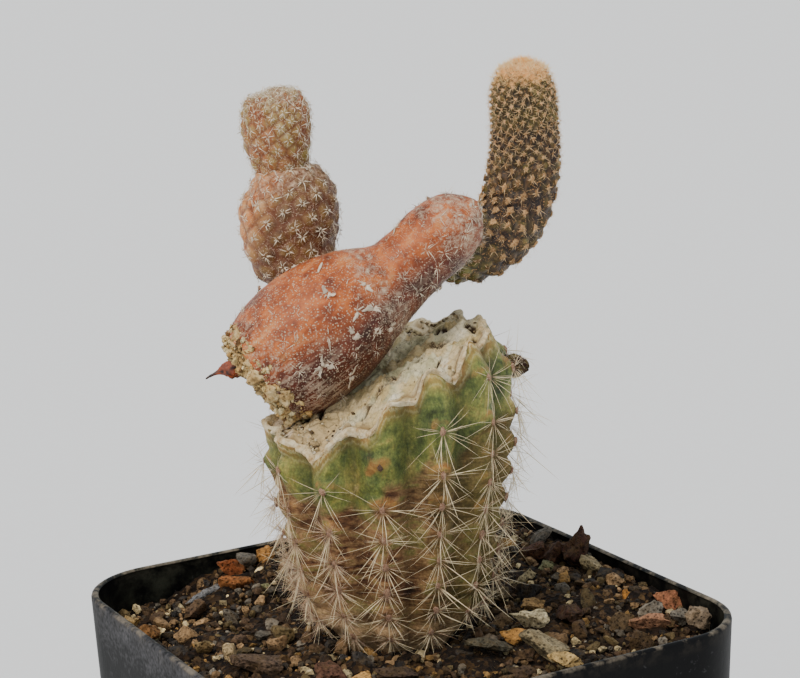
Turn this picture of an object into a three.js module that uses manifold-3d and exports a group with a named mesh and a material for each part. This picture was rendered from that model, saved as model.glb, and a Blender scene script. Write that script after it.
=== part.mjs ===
import * as THREE from 'three';
import { mergeVertices } from 'three/addons/utils/BufferGeometryUtils.js';
import Module from 'manifold-3d';

// A small grafted cactus in a square plastic nursery pot.
// Millimetres, +Z up. The origin is the centre of the pot's underside.
// The plant is modelled in a frame of its own, whose zero height is the pot's rim.
// Its X runs along the reclining segment, and its Y points to the side that the others grow on.

// Pot
const POT_HEIGHT = 55;
const POT_RIM_HALF = 30;
const POT_BASE_HALF = 28.1;
const POT_CORNER = 9.7;
const POT_CORNER_STEPS = 5;
const POT_WALL = 0.95;
const POT_FLOOR = 1.4;
const DRAIN_RADIUS = 2.6;
const DRAIN_INSET = 13;

// Space left between two pieces that touch
const SEAT_GAP = 0.3;

// Soil, heights from the rim
const SOIL_LEVEL = -4.4;
const SOIL_MOUND = 1.5;
const SOIL_MOUND_RADIUS = 16;
const BED_CELL = 2.7;
const BED_CELLS = 22;
const BED_JITTER = 0.4;
const FINE_GRIT_HEIGHT = 2.2;
const STONE_CELL = 10;
const STONE_JITTER = 0.7;
const STONES_EACH_WAY = 5;
const STONE_HALF_SIZES = [1.5, 2.5];
const STONE_WIDTHS = [0.6, 1];
const STONE_HEIGHTS = [0.45, 0.9];
const STONE_RAISE = [0.2, 0.7];
const STONE_TILT = 1.1;
const GRIT_SEED = 11;
const TALL_STONE = { at: [25, 8.5, -1.2], half: [2.9, 2.2, 2.0] };

// The plant stands turned in its pot
const PLANT_TURN = THREE.MathUtils.degToRad(-29.13);

// Rootstock: [height, radius over the ribs]
const STOCK_AXIS_X = -0.7;
const STOCK_PROFILE = [
  [-11, 2.6], [-7, 4.6], [-3.5, 7.2], [-1, 9.3], [2, 10.9], [6, 11.8], [10, 12.4],
  [14, 13.1], [18, 13.9], [22, 14.2], [26, 14.3], [29, 13.7], [32, 12.1], [35, 9.5],
];
const RIBS = 13;
const FIRST_RIB = THREE.MathUtils.degToRad(-4 - 90);
const RIB_DEPTH = 1.3;
const STEPS_PER_RIB = 4;
const STOCK_ROWS = 15;
const STOCK_TOP_RINGS = 2;
// The buried root neck tapers off below the profile, and the hole for it is open above the grit
const STOCK_ROOT_TIP = 1.5;
const STOCK_HOLE_TOP = 6;

// The cut that the stock was grafted on: a plane, whose edge stands higher on each rib
const CUT_HEIGHT = 26.9;
const CUT_SLOPE_X = 0.4;
const CUT_SLOPE_Y = 0.12;
const CROWN_RISE = 1.4;
const CUT_EDGE_ROUNDS = 6;

// Callus on the cut: [share of the radius, thickness]
const CALLUS_PROFILE = [[1.02, 0.3], [1.035, 0.9], [0.97, 1.4], [0.86, 0.8], [0.45, 1.2]];
const CALLUS_ROUGHNESS = 0.35;
const CALLUS_SEED = 5;

// Areoles and spines of the rootstock
const AREOLE_FIRST_HEIGHT = 3.2;
const AREOLE_STEPS = [2.6, 0.1];
const AREOLE_CLEAR_OF_CUT = 1.6;
const STOCK_SPINE = { perAreole: 3, length: [5.5, 8.5], radius: 0.19, lift: 0.75, sink: 0.6, seed: 23 };

// Segments of the scion: [x, y, z, radius] along each one's middle
const MAIN_SEGMENT = [
  [-13.4, -1.9, 28.5, 6.5], [-11.8, -1.6, 29.8, 7.3], [-9.2, -1.2, 31.9, 7.7], [-6.4, -0.7, 33.9, 7.4],
  [-3.4, -0.1, 35.8, 6.4], [0.1, 0.5, 37.8, 4.7], [2.9, 1.0, 40.0, 4.2], [5.6, 1.5, 42.3, 4.3],
  [8.2, 1.9, 44.4, 3.6], [10.3, 2.3, 46.1, 0],
];
const LEFT_LOWER_SEGMENT = [
  [-8.6, 3.8, 34.6, 2.6], [-9.8, 6.8, 37.4, 4.1], [-11.2, 8.6, 40.4, 5.3], [-11.5, 9.5, 43.6, 5.85],
  [-11.4, 10, 46.6, 5.4], [-11.7, 10.2, 49.2, 3.6], [-11.8, 10.2, 50.6, 0],
];
const LEFT_UPPER_SEGMENT = [
  [-11.8, 10.2, 49.2, 2.7], [-12.2, 10.1, 51.4, 3.6], [-12.5, 10, 54, 4.15], [-12.6, 10, 56.8, 3.75],
  [-12.5, 10, 59.5, 0],
];
const RIGHT_SEGMENT = [
  [3.6, 3.4, 39.9, 2.0], [6.4, 6.0, 38.9, 2.6], [10.9, 10.4, 39.4, 3.8], [14.4, 13, 42.2, 4.3],
  [16.2, 14.4, 47.2, 4.4], [16.6, 15, 52.2, 4.2], [16.4, 15, 57.6, 4.0], [16.4, 15, 61.6, 0],
];
const MAIN_SURFACE = { columns: 20, rows: 18, relief: 0.22 };
const LOWER_SURFACE = { columns: 20, rows: 13, relief: 0.6 };
const UPPER_SURFACE = { columns: 16, rows: 11, relief: 0.5 };
const RIGHT_SURFACE = { columns: 18, rows: 24, relief: 0.55 };

// Star-shaped spine clusters on the segments' tubercles
const SHORT_SPINE = { perAreole: 3, length: [1.0, 1.6], radius: 0.15, lift: 0.55, sink: 0.35 };
const MAIN_SPINES = { ...SHORT_SPINE, share: 0.2, seed: 31 };
const LOWER_SPINES = { ...SHORT_SPINE, share: 0.24, seed: 32 };
const UPPER_SPINES = { ...SHORT_SPINE, share: 0.24, seed: 33 };
const RIGHT_SPINES = { ...SHORT_SPINE, share: 0.18, seed: 34 };
// Distance from an areole's middle to the roots of its spines
const ROOT_SPREAD = 0.42;
const SPINE_TURN_JITTER = 0.6;
const SPINE_LIFT_JITTER = [0.6, 1.4];

// Cork on the torn end of the main segment, with a stub of root
const CORK = { thickness: 1.4, radius: 6.1, columns: 14, roughness: 0.3, seed: 7 };
// Cork rings from its outer face to its inner one: [share of the radius, share of the thickness]
const CORK_RINGS = [[0.5, 1], [0.9, 0.9], [1.04, 0.5], [1, 0], [0.5, 0]];
const ROOT_STUB = [
  [-15.0, -2.6, 29.4, 1.0], [-17.6, -3.2, 29.1, 0.9], [-19.8, -3.5, 28.6, 0.5], [-21.2, -3.7, 27.8, 0],
];
const ROOT_STUB_SURFACE = { columns: 8, rows: 6, relief: 0 };

// Withered flower bud on an areole of the rootstock
const BUD = [[12.4, 1.4, 27.2, 0.9], [13.6, 1.5, 27.2, 1.2], [14.8, 1.6, 27.0, 1.0], [15.5, 1.6, 26.8, 0]];
const BUD_SURFACE = { columns: 10, rows: 6, relief: 0.12 };

const ACROSS = new THREE.Vector3(0, 1, 0);
const ACROSS_RIGHT_SEGMENT = new THREE.Vector3(-0.7, 0.71, 0).normalize();
const UP = new THREE.Vector3(0, 1, 0);
const TURN = 2 * Math.PI;

const wasm = await Module();
wasm.setup();

// Seeded random numbers from 0 to 1
function seededRandom(seed) {
  let state = seed;
  return function next() {
    state = (state + 0x6d2b79f5) | 0;
    let mixed = Math.imul(state ^ (state >>> 15), 1 | state);
    mixed = (mixed + Math.imul(mixed ^ (mixed >>> 7), 61 | mixed)) ^ mixed;
    return ((mixed ^ (mixed >>> 14)) >>> 0) / 4294967296;
  };
}

function between(random, [low, high]) {
  return low + (high - low) * random();
}

// Copy with positions only, whose faces share their vertices
function withSharedVertices(geometry) {
  const bare = geometry.clone();
  bare.deleteAttribute('normal');
  bare.deleteAttribute('uv');
  return mergeVertices(bare, 1e-4);
}

// Closed geometry to solid, with collapsed triangles left out
function toSolid(geometry) {
  const merged = withSharedVertices(geometry);
  const index = merged.index.array;
  const kept = [];
  for (let corner = 0; corner < index.length; corner += 3) {
    const [a, b, c] = [index[corner], index[corner + 1], index[corner + 2]];
    if (a !== b && b !== c && c !== a) kept.push(a, b, c);
  }
  return new wasm.Manifold(new wasm.Mesh({
    numProp: 3,
    vertProperties: new Float32Array(merged.attributes.position.array),
    triVerts: new Uint32Array(kept),
  }));
}

function toGeometry(solid) {
  const mesh = solid.getMesh();
  const geometry = new THREE.BufferGeometry();
  geometry.setAttribute('position', new THREE.BufferAttribute(new Float32Array(mesh.vertProperties), 3));
  geometry.setIndex(new THREE.BufferAttribute(new Uint32Array(mesh.triVerts), 1));
  geometry.computeVertexNormals();
  return geometry;
}

// The one body of a solid that holds together, without loose scraps
function largestBody(solid) {
  const bodies = solid.decompose();
  return bodies.reduce((best, body) => (body.volume() > best.volume() ? body : best));
}

function piece(name, solid, material) {
  const mesh = new THREE.Mesh(toGeometry(largestBody(solid)), material);
  mesh.name = name;
  return mesh;
}

function finish(color, roughness) {
  return new THREE.MeshStandardMaterial({ color, roughness, metalness: 0, flatShading: true });
}

// Square prism with round corners, whose half width changes evenly from bottom to top
function taperedPrism(bottom, top, lowHalf, highHalf, corner) {
  const half = highHalf;
  const shape = new THREE.Shape();
  shape.moveTo(half, -half + corner);
  shape.absarc(half - corner, half - corner, corner, 0, TURN / 4);
  shape.absarc(-half + corner, half - corner, corner, TURN / 4, TURN / 2);
  shape.absarc(-half + corner, -half + corner, corner, TURN / 2, TURN * 3 / 4);
  shape.absarc(half - corner, -half + corner, corner, TURN * 3 / 4, TURN);
  const depth = top - bottom;
  const geometry = new THREE.ExtrudeGeometry(shape, {
    depth, bevelEnabled: false, curveSegments: POT_CORNER_STEPS,
  });
  const position = geometry.attributes.position;
  for (let i = 0; i < position.count; i += 1) {
    const height = position.getZ(i) / depth;
    const scale = THREE.MathUtils.lerp(lowHalf / highHalf, 1, height);
    position.setXYZ(i, position.getX(i) * scale, position.getY(i) * scale, position.getZ(i) + bottom);
  }
  return toSolid(geometry);
}

// Half width of the pot's outside at a height above its underside
function potHalfAt(height) {
  return THREE.MathUtils.lerp(POT_BASE_HALF, POT_RIM_HALF, height / POT_HEIGHT);
}

// The pot's inside, drawn in by a margin
function potInside(bottom, top, margin) {
  const inset = POT_WALL + margin;
  return taperedPrism(bottom, top, potHalfAt(bottom) - inset, potHalfAt(top) - inset, POT_CORNER - inset);
}

function buildPot() {
  let solid = taperedPrism(0, POT_HEIGHT, POT_BASE_HALF, POT_RIM_HALF, POT_CORNER);
  solid = solid.subtract(potInside(POT_FLOOR, POT_HEIGHT + 1, 0));
  for (const x of [-DRAIN_INSET, DRAIN_INSET]) {
    for (const y of [-DRAIN_INSET, DRAIN_INSET]) {
      const drain = new THREE.CylinderGeometry(DRAIN_RADIUS, DRAIN_RADIUS, 4 * POT_FLOOR, 12);
      drain.rotateX(TURN / 4).translate(x, y, POT_FLOOR / 2);
      solid = solid.subtract(toSolid(drain));
    }
  }
  return solid;
}

// Surface of revolution whose vertices go where place(row, column) says, poles included
function gridBody(rows, columns, place) {
  const profile = [];
  for (let row = 0; row <= rows; row += 1) {
    const onAxis = row === 0 || row === rows;
    profile.push(new THREE.Vector2(onAxis ? 0 : 1, row));
  }
  const geometry = new THREE.LatheGeometry(profile, columns);
  const position = geometry.attributes.position;
  for (let column = 0; column <= columns; column += 1) {
    for (let row = 0; row <= rows; row += 1) {
      const point = place(row, column % columns);
      position.setXYZ(column * (rows + 1) + row, point.x, point.y, point.z);
    }
  }
  return toSolid(geometry);
}

// Rootstock radius over the ribs at a height
function stockRadius(height) {
  const next = STOCK_PROFILE.findIndex(([level]) => level >= height);
  if (next <= 0) return next === 0 ? STOCK_PROFILE[0][1] : STOCK_PROFILE.at(-1)[1];
  const [low, high] = [STOCK_PROFILE[next - 1], STOCK_PROFILE[next]];
  return THREE.MathUtils.mapLinear(height, low[0], high[0], low[1], high[1]);
}

// How deep the furrow is at an angle round the stock, from 0 on a rib to 1 between ribs
function furrow(angle) {
  return (1 - Math.cos(RIBS * (angle - FIRST_RIB))) / 2;
}

function cutPlane(x, y) {
  return CUT_HEIGHT + CUT_SLOPE_X * (x - STOCK_AXIS_X) + CUT_SLOPE_Y * y;
}

// Height and radius of the stock's cut edge at an angle: each depends on the other,
// so they are worked out in rounds that close in
function cutEdge(angle) {
  let radius = stockRadius(CUT_HEIGHT);
  let height = CUT_HEIGHT;
  for (let round = 0; round < CUT_EDGE_ROUNDS; round += 1) {
    const x = STOCK_AXIS_X + radius * Math.cos(angle);
    height = cutPlane(x, radius * Math.sin(angle)) + CROWN_RISE * (1 - 2 * furrow(angle));
    radius = stockRadius(height) - RIB_DEPTH * furrow(angle);
  }
  return { height, radius };
}

// Point on the cut, at a share of the way from the middle to the edge
function onCut(angle, share, lift) {
  const edge = cutEdge(angle);
  const x = STOCK_AXIS_X + share * edge.radius * Math.cos(angle);
  const y = share * edge.radius * Math.sin(angle);
  const crown = edge.height - cutPlane(
    STOCK_AXIS_X + edge.radius * Math.cos(angle),
    edge.radius * Math.sin(angle),
  );
  return new THREE.Vector3(x, y, cutPlane(x, y) + crown * share ** 3 + lift);
}

function stockAngle(column) {
  return FIRST_RIB + column * TURN / (RIBS * STEPS_PER_RIB);
}

// Ribbed body up to the cut, and its top
function buildStockBody() {
  const lowest = STOCK_PROFILE[0][0];
  const rows = STOCK_ROWS + STOCK_TOP_RINGS + 1;
  return gridBody(rows, RIBS * STEPS_PER_RIB, (row, column) => {
    const angle = stockAngle(column);
    if (row === 0) return new THREE.Vector3(STOCK_AXIS_X, 0, lowest - STOCK_ROOT_TIP);
    if (row > STOCK_ROWS) return onCut(angle, (rows - row) / (STOCK_TOP_RINGS + 1), 0);
    const edge = cutEdge(angle);
    const height = THREE.MathUtils.mapLinear(row, 1, STOCK_ROWS, lowest, edge.height);
    const depth = RIB_DEPTH * THREE.MathUtils.smoothstep(height, -8, 6);
    const radius = row === STOCK_ROWS ? edge.radius : stockRadius(height) - depth * furrow(angle);
    return new THREE.Vector3(STOCK_AXIS_X + radius * Math.cos(angle), radius * Math.sin(angle), height);
  });
}

// Corky layer that covers the cut, with a rounded lip along the skin's edge
function buildCallus() {
  const random = seededRandom(CALLUS_SEED);
  const columns = RIBS * STEPS_PER_RIB;
  const undersideRings = 2;
  const lipRows = CALLUS_PROFILE.length;
  const rows = undersideRings + 1 + lipRows + 1;
  const roughness = Array.from({ length: (rows + 1) * columns }, () => (random() - 0.5) * CALLUS_ROUGHNESS);
  return gridBody(rows, columns, (row, column) => {
    const angle = stockAngle(column);
    if (row <= undersideRings + 1) return onCut(angle, row / (undersideRings + 1), SEAT_GAP);
    if (row === rows) return onCut(angle, 0, SEAT_GAP + CALLUS_PROFILE.at(-1)[1]);
    const [share, thickness] = CALLUS_PROFILE[row - undersideRings - 2];
    return onCut(angle, share, SEAT_GAP + thickness + roughness[row * columns + column]);
  });
}

// Hole in the soil that the stock stands in, in the plant's frame
function buildStockHole() {
  const steps = STOCK_PROFILE.filter(([height]) => height <= STOCK_HOLE_TOP);
  const profile = [
    new THREE.Vector2(0, steps[0][0] - STOCK_ROOT_TIP - 2 * SEAT_GAP),
    ...steps.map(([height, radius]) => new THREE.Vector2(radius + 1.5 * SEAT_GAP, height - SEAT_GAP)),
    new THREE.Vector2(0, STOCK_HOLE_TOP),
  ];
  const geometry = new THREE.LatheGeometry(profile, RIBS * STEPS_PER_RIB);
  geometry.rotateX(TURN / 4).translate(STOCK_AXIS_X, 0, 0);
  return geometry;
}

// Moves a geometry from the plant's frame into the pot's
function intoPot(geometry) {
  return geometry.rotateZ(PLANT_TURN).translate(0, 0, POT_HEIGHT);
}

// Moves a geometry from the pot's frame into the plant's
function intoPlant(geometry) {
  return geometry.translate(0, 0, -POT_HEIGHT).rotateZ(-PLANT_TURN);
}

function soilHeight(x, y) {
  const mound = Math.exp(-((x * x + y * y) / SOIL_MOUND_RADIUS ** 2));
  return POT_HEIGHT + SOIL_LEVEL + SOIL_MOUND * mound;
}

// Angular stone, half sunk in the bed
function stone(random, x, y, z, half) {
  const geometry = new THREE.IcosahedronGeometry(1, 0);
  geometry.scale(...half);
  geometry.rotateX((random() - 0.5) * STONE_TILT);
  geometry.rotateY((random() - 0.5) * STONE_TILT);
  geometry.rotateZ(TURN * random());
  geometry.translate(x, y, z);
  return toSolid(geometry);
}

// Bed whose top is angular fine grit, with larger stones fused to it
function buildSoil() {
  const random = seededRandom(GRIT_SEED);
  const width = BED_CELL * BED_CELLS;
  const bed = withSharedVertices(new THREE.BoxGeometry(width, width, POT_HEIGHT, BED_CELLS, BED_CELLS, 1));
  const position = bed.attributes.position;
  for (let i = 0; i < position.count; i += 1) {
    const [x, y] = [position.getX(i), position.getY(i)];
    const onTop = position.getZ(i) > 0;
    const onEdge = Math.max(Math.abs(x), Math.abs(y)) > (width - BED_CELL) / 2;
    const shift = onTop && !onEdge ? BED_CELL * BED_JITTER : 0;
    const grain = FINE_GRIT_HEIGHT * (random() ** 2 - 0.25);
    position.setX(i, x + (random() - 0.5) * shift);
    position.setY(i, y + (random() - 0.5) * shift);
    position.setZ(i, onTop ? soilHeight(x, y) + grain : 0);
  }
  const solids = [toSolid(bed)];
  const middle = (STONES_EACH_WAY - 1) / 2;
  for (let row = 0; row < STONES_EACH_WAY; row += 1) {
    for (let column = 0; column < STONES_EACH_WAY; column += 1) {
      const x = (column - middle + (random() - 0.5) * STONE_JITTER) * STONE_CELL;
      const y = (row - middle + (random() - 0.5) * STONE_JITTER) * STONE_CELL;
      const size = between(random, STONE_HALF_SIZES);
      const half = [size, size * between(random, STONE_WIDTHS), size * between(random, STONE_HEIGHTS)];
      const z = soilHeight(x, y) + half[2] * between(random, STONE_RAISE);
      const underStock = Math.hypot(x, y) < stockRadius(0) - 3;
      if (!underStock) solids.push(stone(random, x, y, z, half));
    }
  }
  const [tallX, tallY, tallZ] = TALL_STONE.at;
  solids.push(stone(random, tallX, tallY, POT_HEIGHT + tallZ, TALL_STONE.half));
  const inside = potInside(POT_FLOOR + SEAT_GAP, POT_HEIGHT + 3, SEAT_GAP);
  return wasm.Manifold.union(solids).intersect(inside).subtract(toSolid(intoPot(buildStockHole())));
}

// A stem segment: its middle line and girth through the stations, and points on its skin
function segmentForm(stations, surface, across) {
  const path = new THREE.CatmullRomCurve3(stations.map(([x, y, z]) => new THREE.Vector3(x, y, z)));
  const girth = new THREE.SplineCurve(stations.map(([, , , radius], i) => new THREE.Vector2(i, radius ** 2)));
  // Rings stand closer towards both ends, so that the ends come out round
  const ringPlace = (row) => (1 - Math.cos(Math.PI * (row - 1) / (surface.rows - 1))) / 2;
  function frameAt(t) {
    const forward = path.getTangent(t);
    const side = across.clone().addScaledVector(forward, -across.dot(forward)).normalize();
    return { middle: path.getPoint(t), forward, side, other: forward.clone().cross(side) };
  }
  // Tubercles stand on every second vertex, those of the next ring between them
  function skinPoint(row, column, grow) {
    const t = THREE.MathUtils.clamp(ringPlace(row), 0, 1);
    const { middle, forward, side, other } = frameAt(t);
    if (row === 0) return middle.addScaledVector(forward, -grow);
    if (row === surface.rows) return middle.addScaledVector(forward, grow);
    const angle = column * TURN / surface.columns;
    const plain = Math.sqrt(Math.max(0, girth.getPoint(t).y));
    const raised = (row + column) % 2 === 0 ? 0 : -1;
    const fade = THREE.MathUtils.smoothstep(plain, 0.5, 3.5);
    const radius = plain + grow + surface.relief * raised * fade;
    const endShift = row === 1 ? -grow : 0;
    return middle
      .addScaledVector(forward, endShift)
      .addScaledVector(side, radius * Math.cos(angle))
      .addScaledVector(other, radius * Math.sin(angle));
  }
  return { surface, frameAt, ringPlace, skinPoint };
}

// Solid of a segment, its skin moved out by a distance
function segmentBody(form, grow) {
  const { rows, columns } = form.surface;
  return gridBody(rows, columns, (row, column) => form.skinPoint(row, column, grow));
}

// Three-sided needle along a direction, its root sunk in
function needle(root, direction, length, radius, sink) {
  const geometry = new THREE.ConeGeometry(radius, length + sink, 3);
  geometry.translate(0, (length - sink) / 2, 0);
  geometry.applyQuaternion(new THREE.Quaternion().setFromUnitVectors(UP, direction));
  geometry.translate(root.x, root.y, root.z);
  return toSolid(geometry);
}

// Star of spines round an areole; a spine that would meet a neighbour is left out
function spineStar(random, areole, outward, upward, spine, neighbours) {
  const sideways = outward.clone().cross(upward).normalize();
  const first = TURN * random();
  const spines = [];
  for (let i = 0; i < spine.perAreole; i += 1) {
    const turn = first + i * TURN / spine.perAreole + (random() - 0.5) * SPINE_TURN_JITTER;
    const lift = spine.lift * between(random, SPINE_LIFT_JITTER);
    const along = upward.clone().multiplyScalar(Math.sin(turn)).addScaledVector(sideways, Math.cos(turn));
    const root = areole.clone().addScaledVector(along, ROOT_SPREAD);
    const direction = along.addScaledVector(outward, lift).normalize();
    const length = between(random, spine.length);
    const reach = needle(root, direction, length + 2 * SEAT_GAP, spine.radius + SEAT_GAP, -spine.radius);
    if (neighbours.every((solid) => reach.intersect(solid).isEmpty())) {
      spines.push(needle(root, direction, length, spine.radius, spine.sink));
    }
  }
  return spines;
}

// Spines on the rib crests, closer together towards the soil
function stockSpines(neighbours) {
  const random = seededRandom(STOCK_SPINE.seed);
  const spines = [];
  for (let rib = 0; rib < RIBS; rib += 1) {
    const angle = FIRST_RIB + rib * TURN / RIBS;
    const outwardFlat = new THREE.Vector3(Math.cos(angle), Math.sin(angle), 0);
    const highest = cutEdge(angle).height - AREOLE_CLEAR_OF_CUT;
    let step = AREOLE_STEPS[0];
    for (let height = AREOLE_FIRST_HEIGHT + (rib % 2) * step / 2; height < highest; height += step) {
      const slope = (stockRadius(height + 1) - stockRadius(height - 1)) / 2;
      const outward = outwardFlat.clone().setZ(-slope).normalize();
      const upward = outwardFlat.clone().multiplyScalar(slope).setZ(1).normalize();
      const areole = outwardFlat.clone().multiplyScalar(stockRadius(height));
      areole.x += STOCK_AXIS_X;
      areole.z = height;
      spines.push(...spineStar(random, areole, outward, upward, STOCK_SPINE, neighbours));
      step = AREOLE_STEPS[0] + AREOLE_STEPS[1] * height;
    }
  }
  return spines;
}

// Short spines on an even share of a segment's tubercles
function segmentSpines(form, spine, neighbours) {
  const random = seededRandom(spine.seed);
  const spines = [];
  let share = random();
  for (let row = 2; row < form.surface.rows; row += 1) {
    for (let column = 0; column < form.surface.columns; column += 1) {
      const raised = (row + column) % 2 === 0;
      if (raised) share += spine.share;
      if (raised && share >= 1) {
        share -= 1;
        const areole = form.skinPoint(row, column, 0);
        const { middle, forward } = form.frameAt(form.ringPlace(row));
        const outward = areole.clone().sub(middle).addScaledVector(forward, 1e-3).normalize();
        spines.push(...spineStar(random, areole, outward, forward, spine, neighbours));
      }
    }
  }
  return spines;
}

// Crumbly cork on the flat torn end of the main segment, or the room that it takes up
function buildCork(form, grow) {
  const random = seededRandom(CORK.seed);
  const { middle, forward, side, other } = form.frameAt(0);
  const { columns } = CORK;
  const rows = CORK_RINGS.length + 1;
  const roughness = Array.from({ length: rows * columns }, () => (random() - 0.5) * CORK.roughness);
  return gridBody(rows, columns, (row, column) => {
    const [share, depth] = CORK_RINGS[row - 1] ?? [0, row === 0 ? 1 : 0];
    const uneven = share > 0 && depth > 0 ? roughness[row * columns + column] : 0;
    const radius = (CORK.radius + grow) * share + uneven;
    const angle = column * TURN / columns;
    const faceShift = depth > 0 ? grow : -grow;
    return middle.clone()
      .addScaledVector(forward, -SEAT_GAP - depth * CORK.thickness - uneven - faceShift)
      .addScaledVector(side, radius * Math.cos(angle))
      .addScaledVector(other, radius * Math.sin(angle));
  });
}

const main = segmentForm(MAIN_SEGMENT, MAIN_SURFACE, ACROSS);
const lower = segmentForm(LEFT_LOWER_SEGMENT, LOWER_SURFACE, ACROSS);
const upper = segmentForm(LEFT_UPPER_SEGMENT, UPPER_SURFACE, ACROSS);
const right = segmentForm(RIGHT_SEGMENT, RIGHT_SURFACE, ACROSS_RIGHT_SEGMENT);
const stub = segmentForm(ROOT_STUB, ROOT_STUB_SURFACE, ACROSS);
const bud = segmentForm(BUD, BUD_SURFACE, ACROSS);

// Plain bodies, each cut back from the one that it grows on or rests on
const mainRoom = segmentBody(main, SEAT_GAP);
const mainBody = segmentBody(main, 0);
const lowerBody = segmentBody(lower, 0).subtract(mainRoom);
const upperBody = segmentBody(upper, 0).subtract(segmentBody(lower, SEAT_GAP));
const rightBody = segmentBody(right, 0).subtract(mainRoom);
const corkRoom = buildCork(main, SEAT_GAP);
const stockBody = buildStockBody().subtract(mainRoom).subtract(corkRoom);
const callusBody = buildCallus().subtract(mainRoom).subtract(corkRoom);
const corkBody = buildCork(main, 0).subtract(segmentBody(stub, SEAT_GAP));
const stubBody = segmentBody(stub, 0).subtract(mainRoom);
const budBody = segmentBody(bud, 0);
const soilBody = buildSoil();
const soilByPlant = toSolid(intoPlant(toGeometry(soilBody)));

// Spines, fused to what they grow from and clear of everything else
function withSpines(body, spines) {
  return wasm.Manifold.union([body, ...spines]);
}

const stockNeighbours = [soilByPlant, callusBody, mainBody, corkBody, budBody];
const stockWhole = withSpines(stockBody, stockSpines(stockNeighbours)).subtract(segmentBody(bud, SEAT_GAP));
const mainNeighbours = [stockWhole, callusBody, corkBody, stubBody, lowerBody, rightBody];
const mainWhole = withSpines(mainBody, segmentSpines(main, MAIN_SPINES, mainNeighbours));
const lowerWhole = withSpines(lowerBody, segmentSpines(lower, LOWER_SPINES, [mainWhole, upperBody]));
const upperWhole = withSpines(upperBody, segmentSpines(upper, UPPER_SPINES, [lowerWhole]));
const rightNeighbours = [mainWhole, stockWhole, callusBody];
const rightWhole = withSpines(rightBody, segmentSpines(right, RIGHT_SPINES, rightNeighbours));

const plant = new THREE.Group();
plant.position.z = POT_HEIGHT;
plant.rotation.z = PLANT_TURN;
plant.add(
  piece('rootstock', stockWhole, finish(0x6e7448, 0.6)),
  piece('rootstock_callus', callusBody, finish(0xcfc7ae, 0.9)),
  piece('scion_main_segment', mainWhole, finish(0xa8643f, 0.6)),
  piece('scion_base_cork', corkBody, finish(0xc9b48a, 0.95)),
  piece('scion_root_stub', stubBody, finish(0x7a3a26, 0.6)),
  piece('scion_left_lower_segment', lowerWhole, finish(0x9a6a4c, 0.65)),
  piece('scion_left_upper_segment', upperWhole, finish(0xa47a60, 0.65)),
  piece('scion_right_segment', rightWhole, finish(0x5a5236, 0.65)),
  piece('withered_flower_bud', budBody, finish(0x5c4a38, 0.9)),
);

const pottedCactus = new THREE.Group();
pottedCactus.add(
  piece('pot', buildPot(), finish(0x26272a, 0.45)),
  piece('soil', soilBody, finish(0x5a4434, 0.95)),
  plant,
);

export default pottedCactus;
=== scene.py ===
# A small grafted cactus in a square plastic nursery pot, dressed for close views.
# The plant is built in millimetres in a frame of its own, whose zero height is the pot's rim,
# whose X runs along the reclining segment and whose Y points to the side that the others grow on.

import math

import bmesh
import bpy
import numpy as np
from mathutils import Matrix, Vector, kdtree


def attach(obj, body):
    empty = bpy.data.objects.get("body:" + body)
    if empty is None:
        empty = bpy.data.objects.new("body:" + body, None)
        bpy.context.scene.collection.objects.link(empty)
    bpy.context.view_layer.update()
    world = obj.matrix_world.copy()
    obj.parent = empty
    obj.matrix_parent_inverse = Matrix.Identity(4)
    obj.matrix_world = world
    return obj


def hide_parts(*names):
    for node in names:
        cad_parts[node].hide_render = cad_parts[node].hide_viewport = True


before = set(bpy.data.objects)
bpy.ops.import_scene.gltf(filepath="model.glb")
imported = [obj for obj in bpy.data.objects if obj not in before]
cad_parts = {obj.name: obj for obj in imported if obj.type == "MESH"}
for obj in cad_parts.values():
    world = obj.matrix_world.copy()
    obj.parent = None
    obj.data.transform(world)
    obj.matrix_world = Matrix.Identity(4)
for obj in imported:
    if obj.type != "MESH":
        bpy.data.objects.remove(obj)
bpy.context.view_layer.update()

MM = 0.001
TURN = 2 * math.pi
GOLDEN_TURN = TURN * (3 - math.sqrt(5)) / 2

# Pot
POT_HEIGHT = 55
POT_RIM_HALF = 30
POT_BASE_HALF = 28.1
POT_CORNER = 9.7
POT_WALL = 0.55
POT_FLOOR = 1.4
DRAIN_RADIUS = 2.6
DRAIN_INSET = 13
DRAIN_AROUND = 24
POT_AROUND = 192
RIM_WAVE = 0.14

# Soil, heights from the rim
SOIL_LEVEL = -4.6
SOIL_MOUND = 1.5
SOIL_MOUND_RADIUS = 16
BED_CELLS = 120

# The plant stands turned in its pot
PLANT_TURN = math.radians(-29.13)

# Rootstock. Its profile is [height, radius over the ribs]
STOCK_AXIS_X = -0.7
NOISE_RING = 14
STOCK_PROFILE = [
    (-11, 2.6), (-7, 4.6), (-3.5, 7.2), (-1, 9.3), (2, 10.9), (6, 11.8), (10, 12.4),
    (14, 13.1), (18, 13.9), (22, 14.2), (26, 14.3), (29, 13.7), (32, 12.1), (35, 9.5),
]
RIBS = 13
FIRST_RIB = math.radians(-4 - 90)
RIB_DEPTH = 1.3
STOCK_LOWEST = -9
STOCK_CELLS_ROUND = 286
STOCK_CELLS_UP = 130

# Share of the way up the stock's grid at which its ribbed side ends and its hidden top begins
STOCK_TOP_SHARE = 0.86

# The cut that the stock was grafted on: a plane, whose edge stands higher on each rib
CUT_HEIGHT = 26.9
CUT_SLOPE_X = 0.4
CUT_SLOPE_Y = 0.12
CROWN_RISE = 1.4

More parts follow.
